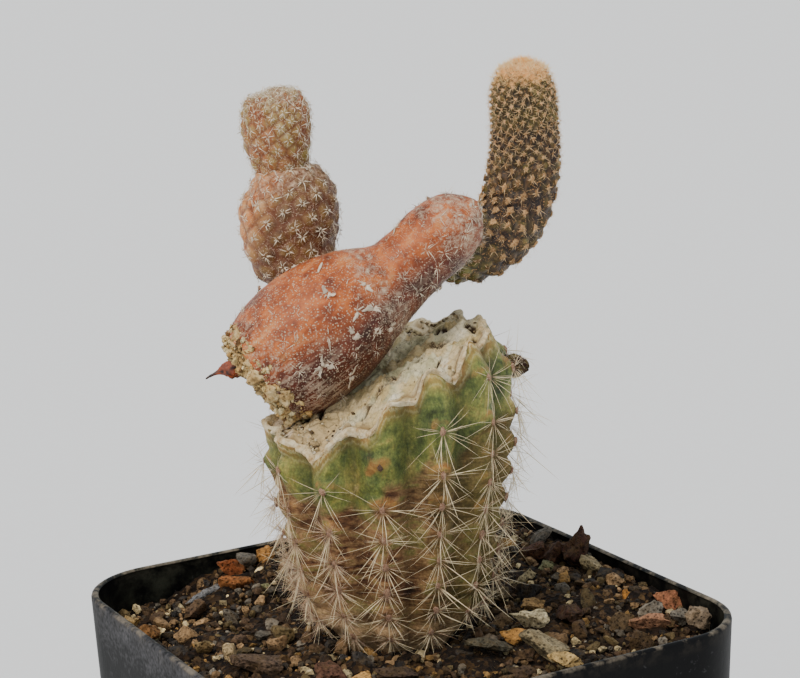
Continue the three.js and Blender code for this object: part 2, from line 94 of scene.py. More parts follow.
# Height of the cut's edge where the photograph shows it: [degrees from the camera's side, height]
SEEN_EDGE = [
    (-69, 22.0), (-60, 21.4), (-48, 21.0), (-39, 19.7), (-33, 20.5), (-28, 21.9), (-20, 23.8),
    (-15, 23.5), (-9, 23.5), (-5, 24.5), (-3, 25.8), (-1, 26.9), (6, 27.0), (14, 26.9),
    (17, 29.0), (19, 30.0), (23, 30.2), (30, 29.3), (38, 28.5), (44, 31.0), (50, 32.4),
]
SEEN_EDGE_BLEND = 9

# Areoles of the rootstock: the top one of the ribs in view, and the steps down from it
TOP_AREOLES = {0: 20.1, 1: 23.6, 2: 28.4, 12: 16.9, 11: 18.2}
TOP_AREOLE_BELOW_EDGE = 4.2
AREOLE_STEPS = [5.0, 3.7, 3.3, 3.2, 3.1, 3.1, 3.1, 3.2, 3.2]
LOWEST_AREOLE = -1.5

# Segments of the scion: [x, y, z, radius] along each one's middle
MAIN_SEGMENT = [
    (-14.5, -2.1, 27.8, 6.5), (-12.3, -1.7, 29.5, 7.4), (-9.2, -1.2, 31.9, 7.7), (-6.4, -0.7, 33.9, 7.4),
    (-3.4, -0.1, 35.8, 6.4), (0.1, 0.5, 37.8, 4.7), (2.9, 1.0, 40.0, 4.2), (5.6, 1.5, 42.3, 4.3),
    (8.2, 1.9, 44.4, 3.6), (10.3, 2.3, 46.1, 0),
]
LEFT_LOWER_SEGMENT = [
    (-8.6, 3.8, 34.6, 2.6), (-9.8, 6.8, 37.4, 4.1), (-11.1, 8.6, 40.4, 5.45), (-11.4, 9.5, 43.6, 6.0),
    (-11.3, 10, 46.5, 5.7), (-11.5, 10.1, 48.5, 4.65), (-11.7, 10.2, 49.8, 3.5), (-11.8, 10.2, 50.8, 0),
]
LEFT_UPPER_SEGMENT = [
    (-11.8, 10.2, 49.2, 3.1), (-12.2, 10.1, 51.4, 3.7), (-12.45, 10, 54, 4.15), (-12.4, 10, 56.9, 3.95),
    (-12.35, 10, 58.4, 3.05), (-12.45, 10, 59.2, 0),
]
RIGHT_SEGMENT = [
    (3.6, 3.4, 39.9, 2.0), (6.4, 6.0, 38.9, 2.6), (10.9, 10.4, 39.4, 3.8), (14.4, 13, 42.2, 4.3),
    (16.2, 14.4, 47.2, 4.4), (16.65, 15, 52.2, 4.1), (16.5, 15, 57.2, 3.9),
    (16.5, 15, 59.7, 2.9), (16.5, 15, 60.8, 0),
]
ROOT_STUB = [
    (-15.0, -2.6, 29.5, 1.2), (-17.2, -3.2, 29.35, 1.2), (-18.5, -3.4, 29.1, 0.95), (-19.3, -3.5, 28.9, 0.62),
    (-19.9, -3.6, 28.7, 0.36), (-20.5, -3.7, 28.45, 0.29), (-21.0, -3.75, 28.15, 0),
]
BUD = [(12.4, 1.4, 27.2, 0.9), (13.6, 1.5, 27.2, 1.2), (14.8, 1.6, 27.0, 1.0), (15.5, 1.6, 26.8, 0)]
ACROSS = (0, 1, 0)
ACROSS_RIGHT_SEGMENT = (-0.7, 0.71, 0)
CORK_THICKNESS = 1.05
CORK_RADIUS = 5.95


# Points and noise

def plant_to_part(points):
    """The plant's frame in millimetres to the part's frame in metres."""
    cosine, sine = math.cos(PLANT_TURN), math.sin(PLANT_TURN)
    x, y, z = points[:, 0], points[:, 1], points[:, 2]
    return np.stack([cosine * x - sine * y, sine * x + cosine * y, z + POT_HEIGHT], axis=1) * MM


def pot_to_part(points):
    """Pot's frame in millimetres, with heights from the rim, to the part's frame in metres."""
    return (points + np.array([0, 0, POT_HEIGHT])) * MM


def smoothstep(values, low, high):
    share = np.clip((np.asarray(values, float) - low) / (high - low), 0, 1)
    return share * share * (3 - 2 * share)


def cell_values(cells, seed):
    """One even number from -1 to 1 for each cell of an endless grid."""
    mixed = (cells @ np.array([73856093, 19349663, 83492791]) + seed * 40503).astype(np.uint32)
    for _ in range(2):
        mixed = (mixed ^ (mixed >> np.uint32(16))) * np.uint32(0x45D9F3B)
    return (mixed ^ (mixed >> np.uint32(16))) / 2147483648.0 - 1


def smooth_noise(points, size, seed):
    """Soft noise from -1 to 1, whose lumps are about size across."""
    cells = points / size
    low = np.floor(cells).astype(np.int64)
    part = cells - low
    part = part * part * (3 - 2 * part)
    total = np.zeros(len(points))
    for corner in np.ndindex(2, 2, 2):
        step = np.array(corner)
        weight = np.prod(np.where(step == 1, part, 1 - part), axis=1)
        total += weight * cell_values(low + step, seed)
    return total


def rough_noise(points, size, seed, layers=4):
    return sum(smooth_noise(points, size / 2**i, seed + i) / 2**i for i in range(layers))


def unit(vectors):
    return vectors / np.maximum(np.linalg.norm(vectors, axis=-1, keepdims=True), 1e-9)


def nearest_two(points, sites):
    """For each point, the distances to the two nearest sites, and which is the nearest."""
    tree = kdtree.KDTree(len(sites))
    for i, site in enumerate(sites):
        tree.insert(site, i)
    tree.balance()
    found = [tree.find_n(point, 2) for point in points]
    near = np.array([[hits[0][2], hits[1][2]] for hits in found])
    return near[:, 0], near[:, 1], np.array([hits[0][1] for hits in found])


# Meshes

def shape_of(bm):
    """Points and faces of a finished bmesh, which is let go. The faces come in the same order each run."""
    bm.verts.index_update()
    points = np.array([vert.co for vert in bm.verts])
    faces = [[vert.index for vert in face.verts] for face in bm.faces]
    bm.free()
    return points, sorted(faces)


def mesh_of(name, bm):
    mesh = bpy.data.meshes.new(name)
    bm.to_mesh(mesh)
    bm.free()
    return mesh


def points_of(mesh):
    flat = np.zeros(len(mesh.vertices) * 3)
    mesh.vertices.foreach_get("co", flat)
    return flat.reshape(-1, 3)


def move_points(mesh, points):
    mesh.vertices.foreach_set("co", np.asarray(points, np.float32).ravel())
    mesh.update()


def note(mesh, name, values):
    """Keeps a number, or a place in metres, for each vertex, which the materials read."""
    values = np.asarray(values, np.float32)
    kind = "FLOAT" if values.ndim == 1 else "FLOAT_VECTOR"
    attribute = mesh.attributes.new(name, kind, "POINT")
    attribute.data.foreach_set("value" if values.ndim == 1 else "vector", values.ravel())


def wrapped_body(name, around, along, place):
    """Closed body: a grid rolled up into a ball. Place gives its points by share of the way up and angle."""
    bm = bmesh.new()
    bmesh.ops.create_grid(bm, x_segments=around, y_segments=along, size=1)
    for vert in bm.verts:
        angle, tilt = math.pi * vert.co.x, math.pi * (vert.co.y + 1) / 2
        vert.co = (math.sin(tilt) * math.cos(angle), math.sin(tilt) * math.sin(angle), -math.cos(tilt))
    bmesh.ops.remove_doubles(bm, verts=[vert for vert in bm.verts if vert.is_boundary], dist=1e-6)
    mesh = mesh_of(name, bm)
    ball = points_of(mesh)
    share = np.arccos(np.clip(-ball[:, 2], -1, 1)) / math.pi
    angle = np.arctan2(ball[:, 1], ball[:, 0])
    points, notes = place(share, angle)
    move_points(mesh, plant_to_part(points))
    for key, values in notes.items():
        note(mesh, key, values)
    mesh.shade_smooth()
    return mesh


def ball_shape(subdivisions):
    """Points and faces of a ball of even triangles."""
    bm = bmesh.new()
    bmesh.ops.create_icosphere(bm, subdivisions=subdivisions, radius=1)
    return shape_of(bm)


def bead_shape():
    """Points and faces of a ball of a few dozen faces, for grains strewn by the hundred."""
    bm = bmesh.new()
    bmesh.ops.create_uvsphere(bm, u_segments=6, v_segments=4, radius=1)
    return shape_of(bm)


def copies_of(name, faces, points, notes, to_part=plant_to_part):
    """One mesh of many copies of a shape. Points is [copy, vertex, xyz], and a note has a value per copy."""
    count, size, _ = points.shape
    loops = np.concatenate([np.array(face) for face in faces])
    sizes = np.array([len(face) for face in faces])
    mesh = bpy.data.meshes.new(name)
    mesh.vertices.add(count * size)
    mesh.loops.add(count * len(loops))
    mesh.polygons.add(count * len(sizes))
    move = np.arange(count)[:, None] * size
    all_sizes = np.tile(sizes, count)
    mesh.vertices.foreach_set("co", to_part(points.reshape(-1, 3)).astype(np.float32).ravel())
    mesh.loops.foreach_set("vertex_index", (loops[None] + move).astype(np.int32).ravel())
    mesh.polygons.foreach_set("loop_start", np.concatenate([[0], np.cumsum(all_sizes)[:-1]]).astype(np.int32))
    mesh.update(calc_edges=True)
    mesh.validate()
    for key, values in notes.items():
        values = np.asarray(values)
        note(mesh, key, values.ravel() if values.shape == (count, size) else np.repeat(values, size, axis=0))
    mesh.shade_smooth()
    return mesh


def piece(mesh, material, slot, *nodes):
    """Puts a finished mesh on the object, standing for the CAD nodes named."""
    made = bpy.data.objects.new(mesh.name, mesh)
    bpy.context.scene.collection.objects.link(made)
    mesh.materials.append(material)
    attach(made, "root")
    if nodes:
        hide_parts(*nodes)


# Materials

def colour(code):
    """sRGB hex to linear colour with full alpha."""
    parts = [int(code[i:i + 2], 16) / 255 for i in (1, 3, 5)]
    linear = [p / 12.92 if p <= 0.04045 else ((p + 0.055) / 1.055) ** 2.4 for p in parts]
    return (*linear, 1)


def per_mm(size):
    """Scale of a pattern whose features are this many millimetres apart."""
    return 1000 / size


def connect(tree, node, inputs):
    """Fills a node's inputs, by socket name or number, with a value, a socket, or a node's output in use."""
    for key, value in inputs.items():
        if isinstance(value, bpy.types.Node):
            value = next(socket for socket in value.outputs if socket.enabled)
        if isinstance(value, bpy.types.NodeSocket):
            tree.links.new(value, node.inputs[key])
        else:
            node.inputs[key].default_value = value


def add(tree, kind, settings, inputs):
    """Adds a shader node. Settings are its properties, with a ramp's stops as hex colours or greys."""
    node = tree.nodes.new("ShaderNode" + kind)
    for key, value in settings.items():
        if key != "stops":
            setattr(node, key, value)
            continue
        elements = node.color_ramp.elements
        while len(elements) < len(value):
            elements.new(1)
        for element, (position, shade) in zip(elements, value):
            element.position = position
            element.color = colour(shade) if isinstance(shade, str) else (shade, shade, shade, 1)
    connect(tree, node, inputs)
    return node


def new_material(name):
    """Material with its shader, and the place on the piece in metres."""
    material = bpy.data.materials.new(name)
    material.use_nodes = True
    tree = material.node_tree
    shader = tree.nodes["Principled BSDF"]
    place = add(tree, "TexCoord", {}, {}).outputs["Object"]
    return material, tree, shader, place


def black_polypropylene_moulded():
    """Thin injection-moulded black plastic: satin, slightly rippled, with dried dust and lime by the rim, and
    grey on the left face that is partly dust and partly painted sheen.
    """
    material, tree, shader, place = new_material("black_polypropylene_moulded")
    dusty_side, edge, inside = (
        add(tree, "Attribute", {"attribute_name": key}, {}).outputs["Fac"]
        for key in ("dusty_side", "edge", "inside"))
    patches = add(tree, "TexNoise", {}, {
        "Vector": place, "Scale": per_mm(4.5), "Detail": 7, "Roughness": 0.75, "Distortion": 0.8})
    specks = add(tree, "TexNoise", {}, {"Vector": place, "Scale": per_mm(0.5), "Detail": 3})
    both = add(tree, "Math", {"operation": "MULTIPLY"}, {0: patches, 1: specks})
    # Painted sheen: grey is laid on the left face, which takes the light, most near the rim; partly real
    # dust, partly painted sheen.
    lift = add(tree, "Math", {"operation": "MULTIPLY_ADD"}, {0: dusty_side, 1: 0.2, 2: both})
    dust = add(tree, "ValToRGB", {"stops": [(0.36, 0.0), (0.6, 0.55)]}, {"Fac": lift})
    plain = add(tree, "Mix", {"data_type": "RGBA"}, {0: patches, 6: colour("#040405"), 7: colour("#0b0b0c")})
    dust_and_sheen = add(tree, "Mix", {"data_type": "RGBA"}, {0: dust, 6: plain, 7: colour("#6b6a6d")})
    lime = add(tree, "TexNoise", {}, {"Vector": place, "Scale": per_mm(3), "Detail": 5, "Roughness": 0.7})
    lime_patches = add(tree, "ValToRGB", {"stops": [(0.4, 0.0), (0.68, 0.6)]}, {"Fac": lime})
    lime_share = add(tree, "Math", {"operation": "MULTIPLY"}, {0: lime_patches, 1: inside})
    limed = add(tree, "Mix", {"data_type": "RGBA"}, {0: lime_share, 6: dust_and_sheen, 7: colour("#4d5044")})
    worn = add(tree, "ValToRGB", {"stops": [(0.46, 0.0), (0.62, 0.7)]}, {"Fac": lime})
    worn_share = add(tree, "Math", {"operation": "MULTIPLY"}, {0: edge, 1: worn})
    rimmed = add(tree, "Mix", {"data_type": "RGBA"}, {0: worn_share, 6: limed, 7: colour("#837868")})
    ripple = add(tree, "TexNoise", {}, {"Vector": place, "Scale": per_mm(5), "Detail": 2})
    bump = add(tree, "Bump", {}, {"Height": ripple, "Distance": 0.0003, "Strength": 0.2})
    fine = add(tree, "Bump", {}, {"Height": specks, "Distance": 0.00004, "Strength": 0.5, "Normal": bump})
    gloss = add(tree, "MapRange", {}, {"Value": dust, "To Min": 0.5, "To Max": 0.85})
    connect(tree, shader, {
        "Base Color": rimmed, "Roughness": gloss, "Normal": fine, "Specular IOR Level": 0.1})
    return material


def broken_grains(name, dust, dust_share, pit, roughness):
    """Broken grains, each of its own tint: matt, mottled, pitted, with dust in patches."""
    material, tree, shader, place = new_material(name)
    tint = add(tree, "Attribute", {"attribute_name": "tint"}, {})
    mottle = add(tree, "TexNoise", {}, {
        "Vector": place, "Scale": per_mm(0.7), "Detail": 6, "Roughness": 0.75})
    shade = add(tree, "MapRange", {}, {
        "Value": mottle, "From Min": 0.34, "From Max": 0.66, "To Min": 0.35, "To Max": 1.75})
    toned = add(tree, "VectorMath", {"operation": "SCALE"}, {0: tint.outputs["Vector"], "Scale": shade})
    pores = add(tree, "TexVoronoi", {}, {"Vector": place, "Scale": per_mm(0.42)})
    pits = add(tree, "ValToRGB", {"stops": [(0.15, 1 - pit), (0.42, 1.0)]}, {"Fac": pores})
    pitted = add(tree, "Mix", {"data_type": "RGBA", "blend_type": "MULTIPLY"}, {0: 1.0, 6: toned, 7: pits})
    silt = add(tree, "TexNoise", {}, {"Vector": place, "Scale": per_mm(1.6), "Detail": 6, "Roughness": 0.75})
    silt_share = add(tree, "ValToRGB", {"stops": [(0.46, 0.0), (0.66, dust_share)]}, {"Fac": silt})
    silted = add(tree, "Mix", {"data_type": "RGBA"}, {0: silt_share, 6: pitted, 7: colour(dust)})
    bump = add(tree, "Bump", {}, {"Height": mottle, "Distance": 0.0005, "Strength": 0.9})
    pitting = add(tree, "Bump", {}, {"Height": pits, "Distance": 0.0002, "Strength": 0.9, "Normal": bump})
    connect(tree, shader, {
        "Base Color": silted, "Normal": pitting, "Roughness": roughness, "Specular IOR Level": 0.25})
    return material


def loose_potting_soil():
    """Fine dark humus and grit dust between the stones: crumbly, with rust and ochre grains."""
    material, tree, shader, place = new_material("potting_soil_loose")
    crumbs = add(tree, "TexVoronoi", {}, {"Vector": place, "Scale": per_mm(0.6)})
    grains = add(tree, "ValToRGB", {"stops": [
        (0.0, "#17120f"), (0.35, "#261d17"), (0.6, "#3a2b1e"), (0.8, "#584227"), (1.0, "#836946")]},
        {"Fac": crumbs.outputs["Color"]})
    drift = add(tree, "TexNoise", {}, {"Vector": place, "Scale": per_mm(5), "Detail": 5})
    shade = add(tree, "Mix", {"data_type": "RGBA", "blend_type": "MULTIPLY"}, {
        0: drift, 6: grains, 7: colour("#5a4a3a")})
    bump = add(tree, "Bump", {}, {"Height": crumbs, "Distance": 0.0006, "Strength": 1.0})
    connect(tree, shader, {"Base Color": shade, "Normal": bump, "Roughness": 0.95, "Specular IOR Level": 0.2})
    return material


def ribbed_stock_epidermis():
    """Living cactus skin: waxy green near the cut, tan bark lower down, orange round the areoles, with
    painted shade in the furrows.
    """
    material, tree, shader, place = new_material("cactus_epidermis_ribbed")
    bark, halo, olive, furrow, below, base = (
        add(tree, "Attribute", {"attribute_name": key}, {}).outputs["Fac"]
        for key in ("bark", "halo", "olive", "furrow", "below", "corky"))
    upright = add(tree, "Mapping", {}, {"Vector": place, "Scale": (1, 1, 0.42)})
    level = add(tree, "Mapping", {}, {"Vector": place, "Scale": (0.4, 0.4, 1.5)})
    streaks = add(tree, "TexNoise", {}, {
        "Vector": upright, "Scale": per_mm(1.7), "Detail": 7, "Roughness": 0.78, "Distortion": 0.4})
    blotches = add(tree, "TexNoise", {}, {
        "Vector": place, "Scale": per_mm(4.2), "Detail": 5, "Roughness": 0.6, "Distortion": 0.4})
    wrinkles = add(tree, "TexNoise", {}, {
        "Vector": level, "Scale": per_mm(1.2), "Detail": 5, "Roughness": 0.65})
    stipple = add(tree, "TexVoronoi", {}, {"Vector": place, "Scale": per_mm(0.32)})
    grit = add(tree, "TexNoise", {}, {"Vector": place, "Scale": per_mm(0.55), "Detail": 6, "Roughness": 0.8})
    green_tone = add(tree, "Mix", {"data_type": "FLOAT"}, {0: 0.6, 2: streaks, 3: blotches})
    green = add(tree, "ValToRGB", {"stops": [
        (0.38, "#323c1b"), (0.45, "#58642e"), (0.53, "#7b7f3c"), (0.61, "#a0924a"), (0.68, "#d4bb7c")]},
        {"Fac": green_tone})
    tan_tone = add(tree, "Mix", {"data_type": "FLOAT"}, {0: 0.5, 2: wrinkles, 3: blotches})
    tan = add(tree, "ValToRGB", {"stops": [
        (0.37, "#321d0f"), (0.45, "#613f26"), (0.52, "#8d6c48"), (0.59, "#7a713c"), (0.67, "#c6aa7e")]},
        {"Fac": tan_tone})
    olive_share = add(tree, "Math", {"operation": "MULTIPLY"}, {0: olive, 1: streaks})
    aged = add(tree, "Mix", {"data_type": "RGBA"}, {0: olive_share, 6: tan, 7: colour("#5f5a2c")})
    bark_edge = add(tree, "Math", {"operation": "MULTIPLY_ADD"}, {0: streaks, 1: 0.9, 2: bark})
    bark_share = add(tree, "ValToRGB", {"stops": [(0.6, 0.0), (0.95, 1.0)]}, {"Fac": bark_edge})
    skin = add(tree, "Mix", {"data_type": "RGBA"}, {0: bark_share, 6: green, 7: aged})
    dots = add(tree, "MapRange", {}, {
        "Value": stipple, "From Min": 0.1, "From Max": 0.7, "To Min": 1.16, "To Max": 0.84})
    dirt = add(tree, "MapRange", {}, {
        "Value": grit, "From Min": 0.36, "From Max": 0.64, "To Min": 0.66, "To Max": 1.34})
    uneven = add(tree, "Math", {"operation": "MULTIPLY"}, {0: dots, 1: dirt})
    corky = add(tree, "Mix", {"data_type": "RGBA"}, {0: base, 6: skin, 7: colour("#c4a278")})
    stippled = add(tree, "VectorMath", {"operation": "SCALE"}, {0: corky, "Scale": uneven})
    halo_edge = add(tree, "Math", {"operation": "MULTIPLY"}, {0: halo, 1: streaks})
    halo_share = add(tree, "ValToRGB", {"stops": [(0.12, 0.0), (0.42, 0.8)]}, {"Fac": halo_edge})
    halo_tone = add(tree, "ValToRGB", {"stops": [
        (0.34, "#a08a4a"), (0.48, "#8c5a2a"), (0.58, "#b08040"), (0.7, "#6f4020")]}, {"Fac": wrinkles})
    orange = add(tree, "Mix", {"data_type": "RGBA"}, {0: halo_share, 6: stippled, 7: halo_tone})
    waver = add(tree, "Math", {"operation": "MULTIPLY_ADD"}, {0: streaks, 1: 3.4, 2: below})
    rings = add(tree, "Math", {"operation": "MULTIPLY"}, {0: waver, 1: 6.5})
    ringed = add(tree, "Math", {"operation": "SINE"}, {0: rings})
    margin_tone = add(tree, "ValToRGB", {"stops": [(0.0, "#a0713c"), (0.4, "#b39358"), (0.9, "#cfb688")]},
                      {"Fac": ringed})
    margin_depth = add(tree, "Math", {"operation": "DIVIDE"}, {0: waver, 1: 5.0})
    margin_share = add(tree, "ValToRGB", {"stops": [(2.1 / 5, 0.95), (4.0 / 5, 0.0)]}, {"Fac": margin_depth})
    broken = add(tree, "ValToRGB", {"stops": [(0.4, 0.25), (0.58, 1.0)]}, {"Fac": streaks})
    margins = add(tree, "Math", {"operation": "MULTIPLY"}, {0: margin_share, 1: broken})
    bordered = add(tree, "Mix", {"data_type": "RGBA"}, {0: margins, 6: orange, 7: margin_tone})
    # Painted shade: the furrows between the ribs are darkened to half, and the rib crests lightened a little.
    shade = add(tree, "MapRange", {}, {"Value": furrow, "To Min": 1.1, "To Max": 0.5})
    shaded = add(tree, "VectorMath", {"operation": "SCALE"}, {0: bordered, "Scale": shade})
    folds = add(tree, "Mix", {"data_type": "FLOAT"}, {0: bark_share, 2: streaks, 3: wrinkles})
    bump = add(tree, "Bump", {}, {"Height": folds, "Distance": 0.0006, "Strength": 0.7})
    pores = add(tree, "Bump", {}, {"Height": stipple, "Distance": 0.00006, "Strength": 0.5, "Normal": bump})
    gloss = add(tree, "MapRange", {}, {"Value": bark_share, "To Min": 0.48, "To Max": 0.85})
    connect(tree, shader, {
        "Base Color": shaded, "Roughness": gloss, "Normal": pores, "Subsurface Weight": 0.05,
        "Subsurface Radius": (0.0008, 0.001, 0.0004), "Specular IOR Level": 0.35})
    return material


def dried_callus():
    """Healed wound tissue: chalky cream, grey-green and pinkish, with ochre crusts and dark cracks, and a
    painted shadow line inside the lip.
    """
    material, tree, shader, place = new_material("cactus_callus_dried")
    lip, crack, crust, left, inner, groove, scab = (
        add(tree, "Attribute", {"attribute_name": key}, {}).outputs["Fac"]
        for key in ("lip", "crack", "crust", "left", "inner", "groove", "scab"))
    clouds = add(tree, "TexNoise", {}, {
        "Vector": place, "Scale": per_mm(3), "Detail": 6, "Roughness": 0.65, "Distortion": 0.5})
    fine = add(tree, "TexNoise", {}, {"Vector": place, "Scale": per_mm(0.4), "Detail": 6, "Roughness": 0.75})
    chalk = add(tree, "ValToRGB", {"stops": [
        (0.34, "#a69669"), (0.44, "#d2c294"), (0.54, "#f0e4c2"), (0.63, "#f4ead0"), (0.72, "#d4b27a")]},
        {"Fac": clouds})
    smooth = add(tree, "ValToRGB", {"stops": [
        (0.34, "#a4a280"), (0.5, "#d2cca4"), (0.64, "#ece2bc")]}, {"Fac": clouds})
    inner_share = add(tree, "Math", {"operation": "MULTIPLY"}, {0: inner, 1: 0.75})
    middle = add(tree, "Mix", {"data_type": "RGBA"}, {0: inner_share, 6: chalk, 7: smooth})
    left_share = add(tree, "Math", {"operation": "MULTIPLY"}, {0: left, 1: 0.75})
    pinkish = add(tree, "Mix", {"data_type": "RGBA"}, {0: left_share, 6: middle, 7: colour("#e0c6aa")})
    crust_share = add(tree, "Math", {"operation": "MULTIPLY"}, {0: crust, 1: 0.65})
    crusty = add(tree, "Mix", {"data_type": "RGBA"}, {0: crust_share, 6: pinkish, 7: colour("#d3b880")})
    scab_spots = add(tree, "ValToRGB", {"stops": [(0.4, "#2e2219"), (0.5, "#6e5a40"), (0.6, "#c9b48c")]},
                     {"Fac": fine})
    scabby = add(tree, "Mix", {"data_type": "RGBA"}, {0: scab, 6: crusty, 7: scab_spots})
    # Painted shade: a darker brown line in the groove just inside the lip, where the lip's shadow falls.
    groove_shade_share = add(tree, "Math", {"operation": "MULTIPLY"}, {0: groove, 1: 0.8})
    groove_shaded = add(tree, "Mix", {"data_type": "RGBA"}, {0: groove_shade_share, 6: scabby, 7: colour("#8a6d48")})
    stains = add(tree, "TexNoise", {}, {
        "Vector": place, "Scale": per_mm(1.4), "Detail": 6, "Roughness": 0.75})
    lip_tone = add(tree, "ValToRGB", {"stops": [(0.34, "#ac8a5c"), (0.46, "#d8c094"), (0.6, "#eddebc")]},
                   {"Fac": stains})
    lipped = add(tree, "Mix", {"data_type": "RGBA"}, {0: lip, 6: groove_shaded, 7: lip_tone})
    speck = add(tree, "ValToRGB", {"stops": [(0.36, 0.5), (0.46, 0.94), (0.6, 1.0)]}, {"Fac": fine})
    speck_share = add(tree, "MapRange", {}, {"Value": lip, "To Min": 0.85, "To Max": 0.5})
    specked = add(tree, "Mix", {"data_type": "RGBA", "blend_type": "MULTIPLY"}, {
        0: speck_share, 6: lipped, 7: speck})
    cells = add(tree, "TexNoise", {}, {"Vector": place, "Scale": per_mm(2), "Detail": 4})
    warped = add(tree, "Mix", {"data_type": "VECTOR"}, {0: 0.0016, 4: place, 5: cells.outputs["Color"]})
    net = add(tree, "TexVoronoi", {"feature": "DISTANCE_TO_EDGE"}, {"Vector": warped, "Scale": per_mm(2.2)})
    net_line = add(tree, "ValToRGB", {"stops": [(0.0, 1.0), (0.04, 0.0)]}, {"Fac": net})
    net_where = add(tree, "Math", {"operation": "MULTIPLY_ADD"}, {0: left, 1: 0.35, 2: 0.3})
    net_share = add(tree, "Math", {"operation": "MULTIPLY"}, {0: net_line, 1: net_where})
    all_cracks = add(tree, "Math", {"operation": "MAXIMUM"}, {0: net_share, 1: crack})
    cracked = add(tree, "Mix", {"data_type": "RGBA"}, {0: all_cracks, 6: specked, 7: colour("#38291b")})
    bump = add(tree, "Bump", {}, {"Height": clouds, "Distance": 0.0006, "Strength": 0.5})
    grain = add(tree, "Bump", {}, {"Height": fine, "Distance": 0.0003, "Strength": 0.9, "Normal": bump})
    connect(tree, shader, {
        "Base Color": cracked, "Normal": grain, "Roughness": 0.92, "Specular IOR Level": 0.2})
    return material


def stem_epidermis(name, upper_tones, lower_tones, groove, groove_shade_depth, scurf, gloss):
    """Skin of a scion segment: tones that change round the stem, partly painted shade on the side away from
    the light, with pale specks, streaks and scurf, and painted shade in the hollows between the tubercles.
    """
    material, tree, shader, _ = new_material(name)
    rise, turned, pale, speckled, streaked = (
        add(tree, "Attribute", {"attribute_name": key}, {}).outputs["Fac"]
        for key in ("rise", "turned", "pale", "speckled", "streaked"))
    straight = add(tree, "Attribute", {"attribute_name": "straight"}, {}).outputs["Vector"]
    blotches = add(tree, "TexNoise", {}, {
        "Vector": straight, "Scale": per_mm(2.6), "Detail": 7, "Roughness": 0.66, "Distortion": 0.3})
    fine = add(tree, "TexNoise", {}, {
        "Vector": straight, "Scale": per_mm(0.35), "Detail": 5, "Roughness": 0.7})
    upper = add(tree, "ValToRGB", {"stops": list(zip((0.34, 0.46, 0.57, 0.7), upper_tones))},
                {"Fac": blotches})
    lower = add(tree, "ValToRGB", {"stops": list(zip((0.34, 0.46, 0.57, 0.7), lower_tones))},
                {"Fac": blotches})
    # The turned note mixes in the second tones. On the reclining and round segments it is the side away from
    # the light: partly their own darker colour, partly painted shade. On the right segment it is its darker
    # upper part.
    side = add(tree, "Math", {"operation": "MULTIPLY_ADD"}, {0: blotches, 1: 0.6, 2: turned})
    side_share = add(tree, "ValToRGB", {"stops": [(0.4, 0.0), (0.98, 1.0)]}, {"Fac": side})
    skin = add(tree, "Mix", {"data_type": "RGBA"}, {0: side_share, 6: upper, 7: lower})
    # Painted shade: the hollows between the tubercles take the groove colour, as deeply as the depth given.
    groove_shade_share = add(tree, "ValToRGB", {"stops": [(0.0, groove_shade_depth), (0.5, 0.0)]}, {"Fac": rise})
    groove_shaded = add(tree, "Mix", {"data_type": "RGBA"}, {0: groove_shade_share, 6: skin, 7: colour(groove)})
    lengthwise = add(tree, "Mapping", {}, {"Vector": straight, "Scale": (1, 1, 0.13)})
    lines = add(tree, "TexNoise", {}, {
        "Vector": lengthwise, "Scale": per_mm(0.42), "Detail": 3, "Roughness": 0.5})
    seam = add(tree, "ValToRGB", {"stops": [(0.4, 0.8), (0.49, 0.0)]}, {"Fac": lines})
    seam_share = add(tree, "Math", {"operation": "MULTIPLY"}, {0: seam, 1: streaked})
    seamed = add(tree, "Mix", {"data_type": "RGBA"}, {0: seam_share, 6: groove_shaded, 7: colour(groove)})
    dots = add(tree, "TexVoronoi", {}, {"Vector": straight, "Scale": per_mm(0.27)})
    ragged = add(tree, "Math", {"operation": "SUBTRACT"}, {0: dots, 1: fine})
    dot = add(tree, "MapRange", {}, {
        "Value": ragged, "From Min": -0.36, "From Max": -0.1, "To Min": 0.8, "To Max": 0.0})
    drift = add(tree, "TexNoise", {}, {
        "Vector": straight, "Scale": per_mm(1.5), "Detail": 4, "Roughness": 0.7})
    where = add(tree, "Math", {"operation": "MULTIPLY_ADD"}, {0: speckled, 1: 0.4, 2: drift})
    where_share = add(tree, "ValToRGB", {"stops": [(0.5, 0.0), (0.8, 0.95)]}, {"Fac": where})
    speck_share = add(tree, "Math", {"operation": "MULTIPLY"}, {0: dot, 1: where_share})
    line = add(tree, "ValToRGB", {"stops": [(0.52, 0.0), (0.62, 0.8)]}, {"Fac": lines})
    broken = add(tree, "Math", {"operation": "MULTIPLY"}, {0: line, 1: fine})
    line_share = add(tree, "Math", {"operation": "MULTIPLY"}, {0: broken, 1: streaked})
    flaking = add(tree, "TexNoise", {}, {
        "Vector": straight, "Scale": per_mm(0.9), "Detail": 6, "Roughness": 0.8})
    flake_edge = add(tree, "Math", {"operation": "MULTIPLY_ADD"}, {0: pale, 1: 0.34, 2: flaking})
    flakes = add(tree, "ValToRGB", {"stops": [(0.62, 0.0), (0.8, 0.85)]}, {"Fac": flake_edge})
    first = add(tree, "Math", {"operation": "MAXIMUM"}, {0: flakes, 1: speck_share})
    scurfy = add(tree, "Math", {"operation": "MAXIMUM"}, {0: first, 1: line_share})
    coated = add(tree, "Mix", {"data_type": "RGBA"}, {0: scurfy, 6: seamed, 7: colour(scurf)})
    bump = add(tree, "Bump", {}, {"Height": scurfy, "Distance": 0.00006, "Strength": 0.8})
    pores = add(tree, "Bump", {}, {"Height": fine, "Distance": 0.0001, "Strength": 0.6, "Normal": bump})
    rough = add(tree, "MapRange", {}, {"Value": scurfy, "To Min": gloss, "To Max": 0.85})
    connect(tree, shader, {
        "Base Color": coated, "Roughness": rough, "Normal": pores, "Subsurface Weight": 0.08,
        "Subsurface Radius": (0.0012, 0.0006, 0.0003), "Specular IOR Level": 0.38})
    return material


